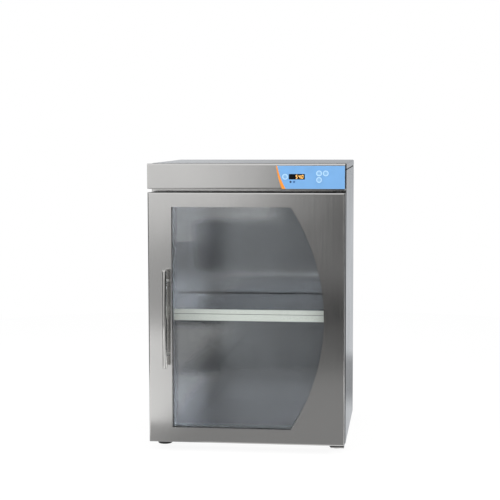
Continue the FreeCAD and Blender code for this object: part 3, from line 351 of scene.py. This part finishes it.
def glowing(name, colour, strength):
    """Lit segments of the display, a little uneven."""
    s = Shading(name)
    flicker = s.noise(900, detail=1)
    tone = s.blend(s.spread(flicker, 0, 1), shade(colour, 0.85), colour)
    s.surface(Base_Color=tone, Roughness=0.4, Emission_Color=tone, Emission_Strength=strength)
    return s.material


STEEL = (0.60, 0.595, 0.585)
TURNED_STEEL = (0.86, 0.85, 0.83)
STEEL_ROUGHNESS = 0.18
STEEL_WAVES = 0.0002
# Each way of brushing: the axis of its lines, and the way across them on the sheet.
UPRIGHT_FRONT = ("Z", (1.0, 0.1, 0.05))
UPRIGHT_SIDE = ("Z", (0.1, 1.0, 0.05))
LEVEL_FRONT = ("X", (0.05, 0.1, 1.0))
LEVEL_TOP = ("X", (0.05, 1.0, 0.1))
STEEL_GRAIN = {
    "door_skin": UPRIGHT_FRONT,
    "door_inner_pan": UPRIGHT_FRONT,
    "front_frame": UPRIGHT_FRONT,
    "rear_cover": UPRIGHT_FRONT,
    "header_shell": UPRIGHT_FRONT,
    "side_panel_left": UPRIGHT_SIDE,
    "side_panel_right": UPRIGHT_SIDE,
    "top_cover": LEVEL_TOP,
    "base_pan": LEVEL_TOP,
    "hinge_plate_top": LEVEL_TOP,
    "hinge_plate_bottom": LEVEL_TOP,
}


def slot_materials():
    """One material for each slot of the record, except the stainless one."""
    zinc = (0.58, 0.60, 0.63)
    case_zinc = (0.6, 0.61, 0.62)
    spacer = (0.74, 0.75, 0.76)
    black = (0.008, 0.008, 0.009)
    gasket = (0.03, 0.03, 0.033)
    foot = (0.02, 0.02, 0.02)
    return {
        # The liner's grey is darker and bluer than the outer steel: painted shade for the dim inside
        # of the chamber.
        "liner_steel": annealed("liner_steel", (0.40, 0.412, 0.447), 0.225),
        "polished_steel": polished("polished_steel", (0.93, 0.92, 0.90), 0.05),
        "zinc_steel": brushed("zinc_steel", zinc, 0.34, *LEVEL_FRONT, anisotropy=0.1),
        "spacer_metal": brushed("spacer_metal", spacer, 0.3, *UPRIGHT_FRONT, anisotropy=0.2),
        "window_glass": glass("window_glass"),
        "black_plastic": moulded("black_plastic", black, 0.62, specular=0.0),
        "bush_plastic": moulded("bush_plastic", (0.03, 0.03, 0.032), 0.35, grain_depth=0.00001),
        "supply_case": brushed("supply_case", case_zinc, 0.4, *LEVEL_TOP, anisotropy=0.1),
        "gasket_rubber": moulded("gasket_rubber", gasket, 0.6, grain_scale=900, specular=0.25),
        "foot_rubber": moulded("foot_rubber", foot, 0.65, grain_scale=800, grain_depth=0.00005),
        "cable_rubber": moulded("cable_rubber", (0.35, 0.06, 0.04), 0.5, grain_scale=900),
        "mineral_wool": wool("mineral_wool", (0.62, 0.55, 0.34)),
        "shelf_cream": painted("shelf_cream", (0.78, 0.785, 0.75), 0.42),
        "blue_film": film("blue_film", (0.165, 0.365, 0.66)),
        "orange_film": film("orange_film", (0.80, 0.28, 0.03)),
        "key_film": film("key_film", (0.24, 0.45, 0.72)),
        "display_lens": film("display_lens", (0.004, 0.004, 0.005), 0.12, specular=0.2),
        "lamp_lens": lamp_lenses("lamp_lens"),
        "board_green": moulded("board_green", (0.02, 0.16, 0.06), 0.35, grain_scale=300),
    }


def dress_nodes():
    """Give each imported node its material, with one steel for each direction of brushing."""
    by_slot = slot_materials()
    steels = {}
    turned = brushed("turned_steel", TURNED_STEEL, 0.38, *UPRIGHT_FRONT, anisotropy=0.0)
    for name, node in NODES.items():
        if SLOT_OF[name] == "stainless":
            grain = STEEL_GRAIN[name]
            if grain not in steels:
                label = f"stainless_{len(steels)}"
                steels[grain] = brushed(label, STEEL, STEEL_ROUGHNESS, *grain, waves=STEEL_WAVES)
            material = steels[grain]
        elif name == "handle_standoffs":
            material = turned
        else:
            material = by_slot[SLOT_OF[name]]
        for place in node.material_slots:
            place.material = material
    return by_slot


# ---------------------------------------------------------------- mesh helpers

def make_piece(name, shape, body, material, replaces=()):
    """Turn a bmesh into a piece that rides on a body and wears the material given."""
    bmesh.ops.recalc_face_normals(shape, faces=shape.faces[:])
    mesh = bpy.data.meshes.new(name)
    shape.to_mesh(mesh)
    shape.free()
    mesh.materials.append(material)
    piece = bpy.data.objects.new(name, mesh)
    bpy.context.scene.collection.objects.link(piece)
    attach(piece, body)
    if replaces:
        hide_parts(*replaces)
    return piece


def skin_rings(shape, rings, close_ends=False):
    """Join equal closed loops of points, each to the next; the last joins the first unless capped."""
    loops = [[shape.verts.new(spot) for spot in ring] for ring in rings]
    pairs = list(zip(loops, loops[1:]))
    if not close_ends:
        pairs.append((loops[-1], loops[0]))
    for first, second in pairs:
        for index in range(len(first)):
            after = (index + 1) % len(first)
            shape.faces.new((first[index], first[after], second[after], second[index]))
    if close_ends:
        shape.faces.new(list(reversed(loops[0])))
        shape.faces.new(loops[-1])


def round_frame(outline, profile):
    """A frame in the door's plane: outline(u) gives its XZ loop grown by u; profile holds (u, y)."""
    shape = bmesh.new()
    skin_rings(shape, [[(x, y, z) for x, z in outline(u)] for u, y in profile])
    return shape


def prism(shape, outline, front, back):
    """A flat figure drawn in XZ, from front to back in Y."""
    rings = [[(x, y, z) for x, z in outline] for y in (front, back)]
    skin_rings(shape, rings, close_ends=True)


# ---------------------------------------------------------------- window and door seals

LAP = 10 * MM
BULGE_SEGMENTS = 40
WINDOW_CORNER_INSET = 140 * MM
SEAL_DEPTH = 15 * MM
SEAL_INSIDE = 0.45 * MM
SEAL_OUTSIDE = 0.65 * MM
SKIN_OF_AIR = 0.05 * MM


def window_outline(grow):
    """The D-shaped window grown all round, as XZ points; its right side is one arc."""
    low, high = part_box("window_glass_outer")
    half_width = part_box("door_skin")[1][0]
    left = low[0] + LAP
    foot, head = low[2] + LAP, high[2] - LAP
    bulge = high[0] - LAP
    middle = (foot + head) / 2
    rise = (head - foot) / 2
    sagitta = bulge - (half_width - WINDOW_CORNER_INSET)
    radius = (rise ** 2 + sagitta ** 2) / (2 * sagitta)
    centre = bulge - radius
    radius += grow
    swing = math.asin((rise + grow) / radius)
    loop = [(left - grow, foot - grow)]
    for step in range(BULGE_SEGMENTS + 1):
        turn = swing * (2 * step / BULGE_SEGMENTS - 1)
        loop.append((centre + radius * math.cos(turn), middle + radius * math.sin(turn)))
    loop.append((left - grow, head + grow))
    return loop


def make_window_seal(material):
    """Black butyl strip on the spacer, just behind the outer pane."""
    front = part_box("window_glass_outer")[1][1] + SKIN_OF_AIR
    back = front + SEAL_DEPTH
    profile = [(SEAL_INSIDE, front), (SEAL_INSIDE, back), (SEAL_OUTSIDE, back), (SEAL_OUTSIDE, front)]
    make_piece("window_seal", round_frame(window_outline, profile), "door", material)


GASKET_PROFILE = (
    (-3.4, 0.0), (3.4, 0.0), (3.4, 1.6), (4.3, 3.0), (4.3, 4.2), (2.9, 5.6), (2.9, 6.6), (4.4, 8.2),
    (4.4, 12.9), (3.7, 13.7), (-3.7, 13.7), (-4.4, 12.9), (-4.4, 8.2), (-2.9, 6.6), (-2.9, 5.6),
    (-4.3, 4.2), (-4.3, 3.0), (-3.4, 1.6),
)
GASKET_WIDTH = 9 * MM


def make_gasket(material):
    """Bellows gasket: a foot on the door, a folding web and the bag that holds its magnet strip."""
    low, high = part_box("door_gasket")
    inset = GASKET_WIDTH / 2

    def outline(grow):
        left, right = low[0] + inset - grow, high[0] - inset + grow
        foot, head = low[2] + inset - grow, high[2] - inset + grow
        return [(left, foot), (right, foot), (right, head), (left, head)]

    profile = [(u * MM, low[1] + depth * MM) for u, depth in GASKET_PROFILE]
    shape = round_frame(outline, profile)
    make_piece("magnetic_gasket", shape, "door", material, ["door_gasket"])


SEAM_SHADE_STRIP = ((0.0, -1.1), (2.2, -1.1), (3.1, -0.6), (3.4, 0.0), (3.1, 0.6), (2.2, 1.1), (0.0, 1.1))
SEAM_MIDDLE_DROP = 16.5 * MM
SEAM_FLOOR = 4.9 * MM
STRIP_SETBACK = 2 * MM


def make_seam_shade_strips(material):
    """Black round-nosed strip in the seam between each side panel and the top cover, a dark piece
    that stands in for the shade in the gap: painted shade.
    """
    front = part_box("top_cover")[0][1] + STRIP_SETBACK
    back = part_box("top_cover")[1][1] - STRIP_SETBACK
    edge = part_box("top_cover")[1][0] - SEAM_FLOOR
    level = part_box("top_cover")[1][2] - SEAM_MIDDLE_DROP
    for side, sign in (("left", -1), ("right", 1)):
        shape = bmesh.new()
        outline = [(sign * (edge + out * MM), level + up * MM) for out, up in SEAM_SHADE_STRIP]
        prism(shape, outline, front, back)
        make_piece("seam_shade_strip_" + side, shape, "case", material)


GROOVE_TOP_DROP = 11.7 * MM
GROOVE_HEIGHT = 1.2 * MM
RAIL_FACE_SETBACK = 1.2 * MM
STRIP_SINK = 0.25 * MM
STRIP_THICKNESS = 0.6 * MM
STRIP_END_GAP = 1 * MM


def make_groove_shade_strip(material):
    """Thin dark strip set into the groove of the shelf's front rail: painted shade that darkens the
    groove.
    """
    low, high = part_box("shelf_front_rail")
    front = low[1] + RAIL_FACE_SETBACK + STRIP_SINK
    top = high[2] - GROOVE_TOP_DROP - SKIN_OF_AIR
    foot = top - GROOVE_HEIGHT + 2 * SKIN_OF_AIR
    nose = front + STRIP_THICKNESS / 3
    rear = front + STRIP_THICKNESS
    section = [(nose, foot), (rear, foot), (rear, top), (nose, top), (front, (foot + top) / 2)]
    shape = bmesh.new()
    ends = (low[0] + STRIP_END_GAP, high[0] - STRIP_END_GAP)
    rings = [[(x, y, z) for y, z in section] for x in ends]
    skin_rings(shape, rings, close_ends=True)
    make_piece("rail_groove_shade_strip", shape, "shelf", material)


# ---------------------------------------------------------------- screws

HEAD_RINGS = 16
HEAD_SEGMENTS = 48
HEAD_DOME = 0.35
RECESS_LENGTH = 0.56
RECESS_WIDTH = 0.13
RECESS_DEPTH = 0.6
FIRST_TURN = 0.3
NEXT_TURN = 1.1
PAN_RADIUS = 3.8 * MM
PAN_HEIGHT = 2 * MM
INLET_HEAD_HEIGHT = 1 * MM


def head_height(x, y, radius, height):
    """How high a cross-recess screw's head stands at a place on it."""
    reach = math.hypot(x, y) / radius
    top = height * (1 - HEAD_DOME * reach ** 3)
    narrow, wide = sorted((abs(x) / radius, abs(y) / radius))
    if wide < RECESS_LENGTH and narrow < RECESS_WIDTH:
        return top - height * RECESS_DEPTH * (1 - 0.5 * wide / RECESS_LENGTH)
    return top


def screw_head(shape, seat, facing, radius, height, turn):
    """A pan head whose underside is at seat and whose top points along facing."""
    aim = Vector(facing).to_track_quat("Z", "Y").to_matrix()
    spin = Matrix.Rotation(turn, 3, "Z")

    def place(x, y, up):
        return Vector(seat) + aim @ (spin @ Vector((x, y, up)))

    angles = [FULL_TURN * step / HEAD_SEGMENTS for step in range(HEAD_SEGMENTS)]
    rings = []
    for ring in range(1, HEAD_RINGS + 1):
        reach = radius * ring / HEAD_RINGS
        loop = []
        for angle in angles:
            x, y = reach * math.cos(angle), reach * math.sin(angle)
            loop.append(place(x, y, head_height(x, y, radius, height)))
        rings.append(loop)
    rings.append([place(radius * math.cos(a), radius * math.sin(a), 0) for a in angles])
    skin_rings(shape, rings, close_ends=True)


def screw_group(node, spots, facing, radius, height, material):
    """The heads of one node's screws in one piece, each turned its own way."""
    shape = bmesh.new()
    for index, spot in enumerate(spots):
        screw_head(shape, spot, facing, radius, height, FIRST_TURN + NEXT_TURN * index)
    name = node.replace("screws", "screw_heads")
    make_piece(name, shape, "case", material, [node])


def make_screws(material):
    """Heads for the screws that show: rear cover, hinge plates, feet and power inlet."""

    def both(low, high, axis, inset=PAN_RADIUS):
        return low[axis] + inset, high[axis] - inset

    low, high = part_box("rear_cover_screws")
    foot, head = both(low, high, 2)
    levels = (foot, (low[2] + high[2]) / 2, head)
    spots = [(x, high[1] - PAN_HEIGHT, z) for x in both(low, high, 0) for z in levels]
    screw_group("rear_cover_screws", spots, (0, 1, 0), PAN_RADIUS, PAN_HEIGHT, material)

    low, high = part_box("hinge_screws")
    front = low[1] + PAN_HEIGHT
    spots = [(x, front, z) for x in both(low, high, 0) for z in both(low, high, 2)]
    screw_group("hinge_screws", spots, (0, -1, 0), PAN_RADIUS, PAN_HEIGHT, material)

    low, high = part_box("foot_screws")
    seat = low[2] + PAN_HEIGHT
    spots = [(x, y, seat) for x in both(low, high, 0) for y in both(low, high, 1)]
    screw_group("foot_screws", spots, (0, 0, -1), PAN_RADIUS, PAN_HEIGHT, material)

    low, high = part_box("inlet_screws")
    radius = (high[2] - low[2]) / 2
    rear = high[1] - INLET_HEAD_HEIGHT
    spots = [(x, rear, low[2] + radius) for x in both(low, high, 0, radius)]
    screw_group("inlet_screws", spots, (0, 1, 0), radius, INLET_HEAD_HEIGHT, material)


# ---------------------------------------------------------------- display and keys

DIGITS = "540"
SEGMENTS_LIT = {"5": "afgcd", "4": "fgbc", "0": "abcdef"}
LAST_DIGIT_INSET = 6.2 * MM
DIGIT_WIDTH = 5.0 * MM
DIGIT_HEIGHT = 9.6 * MM
DIGIT_PITCH = 7.4 * MM
DIGIT_STROKE = 1.35 * MM
DIGIT_SLANT = 0.12
DIGIT_GAP = 0.12 * MM
DOT_CORNERS = 12
PRINT_THICKNESS = 0.04 * MM
PRINT_SINK = PRINT_THICKNESS / 4


def segment_outline(name):
    """One bar of a seven-segment digit, as a long hexagon round the digit's own centre."""
    half = DIGIT_STROKE / 2
    half_wide = DIGIT_WIDTH / 2 - half
    half_high = DIGIT_HEIGHT / 2 - half
    level = {"a": half_high, "g": 0, "d": -half_high}
    upright = {"f": (-1, 1), "b": (1, 1), "e": (-1, -1), "c": (1, -1)}
    if name in level:
        z = level[name]
        tip = half_wide - DIGIT_GAP
        under = [(-tip, z), (half - tip, z - half), (tip - half, z - half)]
        return under + [(tip, z), (tip - half, z + half), (half - tip, z + half)]
    side, end = upright[name]
    x = side * half_wide
    low, high = sorted((end * DIGIT_GAP, end * (half_high - DIGIT_GAP)))
    right = [(x, low), (x + half, low + half), (x + half, high - half)]
    return right + [(x, high), (x - half, high - half), (x - half, low + half)]


def make_digits(material):
    """Three lit digits at the right of the display, with a dot before the last one."""
    low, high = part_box("display_window")
    back = low[1] - PRINT_SINK
    middle = (low[2] + high[2]) / 2
    shape = bmesh.new()
    last = high[0] - LAST_DIGIT_INSET
    for index, digit in enumerate(DIGITS):
        centre = last + (index + 1 - len(DIGITS)) * DIGIT_PITCH
        for name in SEGMENTS_LIT[digit]:
            outline = [(centre + x + DIGIT_SLANT * z, middle + z) for x, z in segment_outline(name)]
            prism(shape, outline, back - PRINT_THICKNESS, back)
    foot = -DIGIT_HEIGHT / 2
    half = DIGIT_STROKE / 2
    dot = (last - DIGIT_PITCH / 2 + DIGIT_SLANT * foot, middle + foot + half)
    prism(shape, disc(dot, half, DOT_CORNERS), back - PRINT_THICKNESS, back)
    make_piece("display_digits", shape, "case", material)


def disc(centre, radius, corners, start=0.0):
    """A regular outline in XZ."""
    angles = [start + FULL_TURN * step / corners for step in range(corners)]
    return [(centre[0] + radius * math.cos(a), centre[1] + radius * math.sin(a)) for a in angles]


RING_OUTSIDE = 7.3 * MM
RING_INSIDE = 5.1 * MM
SYMBOL_REACH = 2.2 * MM
SYMBOL_STROKE = 0.8 * MM
RING_SEGMENTS = 64
FEWEST_SEGMENTS = 8
# An arc's start and its sweep.
WHOLE_RING = (0, FULL_TURN)
POWER_ARC = (math.radians(120), math.radians(300))
POWER_BAR_FOOT = SYMBOL_REACH * 0.2
POWER_BAR_HEAD = SYMBOL_REACH * 1.25
SET_RADIUS = SYMBOL_REACH * 0.8


def print_arc(shape, centre, radius, stroke, arc, front, back):
    """A printed arc drawn in XZ; a full turn closes on itself."""
    start, sweep = arc
    steps = max(FEWEST_SEGMENTS, round(RING_SEGMENTS * sweep / FULL_TURN))
    full = sweep == FULL_TURN
    rings = []
    for step in range(steps if full else steps + 1):
        angle = start + sweep * step / steps
        inner, outer = radius - stroke / 2, radius + stroke / 2
        ring = []
        for reach, y in ((inner, front), (outer, front), (outer, back), (inner, back)):
            ring.append((centre[0] + reach * math.cos(angle), y, centre[1] + reach * math.sin(angle)))
        rings.append(ring)
    skin_rings(shape, rings, close_ends=not full)


def key_symbol(key, centre, front, back):
    """A generic sign: a broken ring with a bar, a ring, or a triangle that points up or down."""
    symbol = bmesh.new()
    if key == "key_power":
        print_arc(symbol, centre, SYMBOL_REACH, SYMBOL_STROKE, POWER_ARC, front, back)
        left, right = centre[0] - SYMBOL_STROKE / 2, centre[0] + SYMBOL_STROKE / 2
        foot, head = centre[1] + POWER_BAR_FOOT, centre[1] + POWER_BAR_HEAD
        prism(symbol, [(left, foot), (right, foot), (right, head), (left, head)], front, back)
    elif key == "key_set":
        print_arc(symbol, centre, SET_RADIUS, SYMBOL_STROKE, WHOLE_RING, front, back)
    else:
        tip = math.pi / 2 if key == "key_up" else -math.pi / 2
        prism(symbol, disc(centre, SYMBOL_REACH, 3, tip), front, back)
    return symbol


def make_key_prints(ring_material, symbol_material):
    """A light ring and a generic symbol printed on each key."""
    radius = (RING_OUTSIDE + RING_INSIDE) / 2
    stroke = RING_OUTSIDE - RING_INSIDE
    for key in ("key_power", "key_up", "key_down", "key_set"):
        low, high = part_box(key)
        centre = ((low[0] + high[0]) / 2, (low[2] + high[2]) / 2)
        back = low[1] - PRINT_SINK
        front = back - PRINT_THICKNESS
        ring = bmesh.new()
        print_arc(ring, centre, radius, stroke, WHOLE_RING, front, back)
        make_piece(key + "_ring", ring, key, ring_material)
        symbol = key_symbol(key, centre, front, back)
        make_piece(key + "_symbol", symbol, key, symbol_material)


LAMP_RINGS = {"lamp_ring_left": (0.004, 0.015, 0.07), "lamp_ring_right": (0.03, 0.12, 0.33)}
LAMP_RING_RADIUS = 2.0 * MM
LAMP_RING_STROKE = 1.4 * MM


def make_lamp_rings():
    """A dark printed ring round each of the two small lamps."""
    low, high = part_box("indicator_lamps")
    half = (high[2] - low[2]) / 2
    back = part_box("control_overlay")[0][1] - PRINT_SINK
    front = back - PRINT_THICKNESS
    for x, (name, colour) in zip((low[0] + half, high[0] - half), LAMP_RINGS.items()):
        shape = bmesh.new()
        centre = (x, low[2] + half)
        print_arc(shape, centre, LAMP_RING_RADIUS, LAMP_RING_STROKE, WHOLE_RING, front, back)
        make_piece(name, shape, "case", film(name, colour))


DIGIT_AMBER = (1.0, 0.52, 0.14, 1)
RING_PRINT = (0.44, 0.67, 0.93)
SYMBOL_PRINT = (0.15, 0.31, 0.52)


def make_pieces(by_slot):
    """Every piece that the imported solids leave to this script."""
    make_window_seal(by_slot["gasket_rubber"])
    make_gasket(by_slot["gasket_rubber"])
    # A black strip in each side seam stands in for the shade in the gap: painted shade.
    make_seam_shade_strips(by_slot["gasket_rubber"])
    # A dark strip in the rail's groove stands in for the groove's shade: painted shade.
    make_groove_shade_strip(by_slot["gasket_rubber"])
    make_screws(by_slot["zinc_steel"])
    make_lamp_rings()
    make_digits(glowing("digit_light", DIGIT_AMBER, 1.1))
    make_key_prints(film("ring_print", RING_PRINT), film("symbol_print", SYMBOL_PRINT))


# ---------------------------------------------------------------- stage and lights

FLOOR_RADIUS = 2.6
FLOOR_SEGMENTS = 96
PAPER = (0.96, 0.975, 1.0, 1)
WHITE = (1, 1, 1, 1)
FLOOR_GLOW = 0.9
FLOOR_SHADE = (0.15, 0.15, 0.15, 1)
FILL_STRENGTH = 0.5


class Bare(Tree):
    """An emptied tree of a material or a world."""

    def __init__(self, owner, output):
        super().__init__(owner)
        self.tree.nodes.clear()
        self.surface = self.node(output).inputs["Surface"]

    def finish(self, shader):
        """Send a shader to the surface."""
        self.feed(self.surface, shader)

    def shown(self):
        """One for rays that show the background: the camera's, and those in metal and glass."""
        rays = self.node("LightPath").outputs
        seen = self.math("MAXIMUM", rays["Is Camera Ray"], rays["Is Transmission Ray"])
        return self.math("MAXIMUM", seen, rays["Is Glossy Ray"])

    def edge(self, place, fade):
        """Rises smoothly from 0 at a card's edges to 1 at the share fade of its width."""
        inside = self.math("MINIMUM", place, self.math("SUBTRACT", 1.0, place))
        inputs = {"Value": inside, "From Max": fade}
        return self.made("MapRange", inputs, interpolation_type="SMOOTHSTEP")


def make_backdrop(name, mesh, material):
    """Put a mesh on the stage, which is no part of the object."""
    mesh.materials.append(material)
    backdrop = bpy.data.objects.new(name, mesh)
    bpy.context.scene.collection.objects.link(backdrop)
    return backdrop


def make_floor():
    """A round paper floor: near white with the object's shadow to the rays that show it."""
    mesh = bpy.data.meshes.new("floor")
    shape = bmesh.new()
    bmesh.ops.create_circle(shape, cap_ends=True, segments=FLOOR_SEGMENTS, radius=FLOOR_RADIUS)
    shape.to_mesh(mesh)
    shape.free()
    material = bpy.data.materials.new("floor")
    t = Bare(material, "OutputMaterial")
    paper = t.made("BsdfDiffuse", {"Color": PAPER})
    glow = t.made("Emission", {"Color": WHITE, "Strength": FLOOR_GLOW})
    shadowed = t.made("BsdfDiffuse", {"Color": FLOOR_SHADE})
    bright = t.made("AddShader", {0: glow, 1: shadowed})
    t.finish(t.mix_shaders(t.shown(), paper, bright))
    make_backdrop("floor", mesh, material)


def make_world():
    """White to the rays that show the background, and an even fill light to all others."""
    world = bpy.data.worlds.new("studio")
    bpy.context.scene.world = world
    t = Bare(world, "OutputWorld")
    white = t.made("Background", {"Color": WHITE, "Strength": 1.0})
    fill = t.made("Background", {"Color": WHITE, "Strength": FILL_STRENGTH})
    t.finish(t.mix_shaders(t.shown(), fill, white))


# Plain cards that stand round the object and cloths that lie on the floor, for the bands that
# brushed steel shows in a studio. Only reflections and rays through glass see them.
# Each one: its grey, its lowest and highest corner, and the share that fades out at each edge.
CARDS = {
    "far_floor": (0.5, (-7, -7, -0.01), (7, -1.5, -0.01), 0.0),
    "card_middle": (0.09, (-0.47, -4.6, 0), (1.4, -4.6, 1.15), 0.12),
    "card_low": (0.14, (-0.9, -4.5, 0), (0.0, -4.5, 0.36), 0.2),
    "card_left": (0.02, (-1.2, -1.1, 0), (-1.2, 0.2, 0.75), 0.05),
    "card_right": (0.02, (1.2, -1.7, 0), (1.2, 0.2, 0.75), 0.05),
    "cloth_back": (0.05, (-0.68, -4.6, 0), (1.5, -2.4, 0), 0.12),
    "cloth_far": (0.14, (-0.45, -2.7, 0.002), (1.2, -1.25, 0.002), 0.12),
    "cloth_near": (0.32, (-0.32, -1.5, 0.003), (1.0, -0.2, 0.003), 0.1),
    "cloth_front": (0.47, (-0.44, -0.6, 0.001), (-0.1, -0.18, 0.001), 0.15),
    "card_behind": (0.6, (-1.3, 5.0, 0.1), (1.5, 5.0, 1.9), 0.4),
    "cloth_behind": (0.5, (0.1, 0.3, 0.001), (0.7, 1.5, 0.001), 0.3),
}


def make_card(name, grey, low, high, fade):
    """A plain rectangle between two corners that share one coordinate, faded at its edges."""
    flat = next(axis for axis in range(3) if low[axis] == high[axis])
    first, second = [axis for axis in range(3) if axis != flat]
    corners = []
    for turn in ((0, 0), (1, 0), (1, 1), (0, 1)):
        corner = list(low)
        corner[first] = (low, high)[turn[0]][first]
        corner[second] = (low, high)[turn[1]][second]
        corners.append(corner)
    mesh = bpy.data.meshes.new(name)
    mesh.from_pydata(corners, [], [range(4)])
    material = bpy.data.materials.new(name)
    t = Bare(material, "OutputMaterial")
    shader = t.made("Emission", {"Color": (grey, grey, grey, 1), "Strength": 1.0})
    if fade:
        spot = t.node("TexCoord").outputs["Generated"]
        place = t.node("SeparateXYZ", {0: spot}).outputs
        solid = t.math("MULTIPLY", t.edge(place[first], fade), t.edge(place[second], fade))
        shader = t.mix_shaders(solid, t.made("BsdfTransparent"), shader)
    t.finish(shader)
    card = make_backdrop(name, mesh, material)
    card.visible_camera = False
    card.visible_diffuse = False
    card.visible_shadow = False


# Square soft boxes at the front left, the front right and overhead: place, size and watts.
LAMPS = {
    "key_box": ((-1.9, -2.6, 1.7), 1.6, 46),
    "fill_box": ((1.1, -3.0, 1.1), 1.4, 28),
    "top_box": ((0.3, -0.4, 2.8), 1.4, 20),
}
LAMP_TARGET = (0, 0, 0.4)


def make_lamp(name, place, size, power):
    """A square soft box that no reflection shows."""
    data = bpy.data.lights.new(name, "AREA")
    data.shape = "SQUARE"
    data.size = size
    data.energy = power
    lamp = bpy.data.objects.new(name, data)
    bpy.context.scene.collection.objects.link(lamp)
    lamp.location = place
    aim = Vector(LAMP_TARGET) - Vector(place)
    lamp.rotation_euler = aim.to_track_quat("-Z", "Y").to_euler()
    lamp.visible_glossy = False


make_camera()
make_pieces(dress_nodes())
make_floor()
make_world()
for card_name, card_facts in CARDS.items():
    make_card(card_name, *card_facts)
for lamp_name, lamp_facts in LAMPS.items():
    make_lamp(lamp_name, *lamp_facts)
bpy.context.scene.view_settings.view_transform = "Standard"
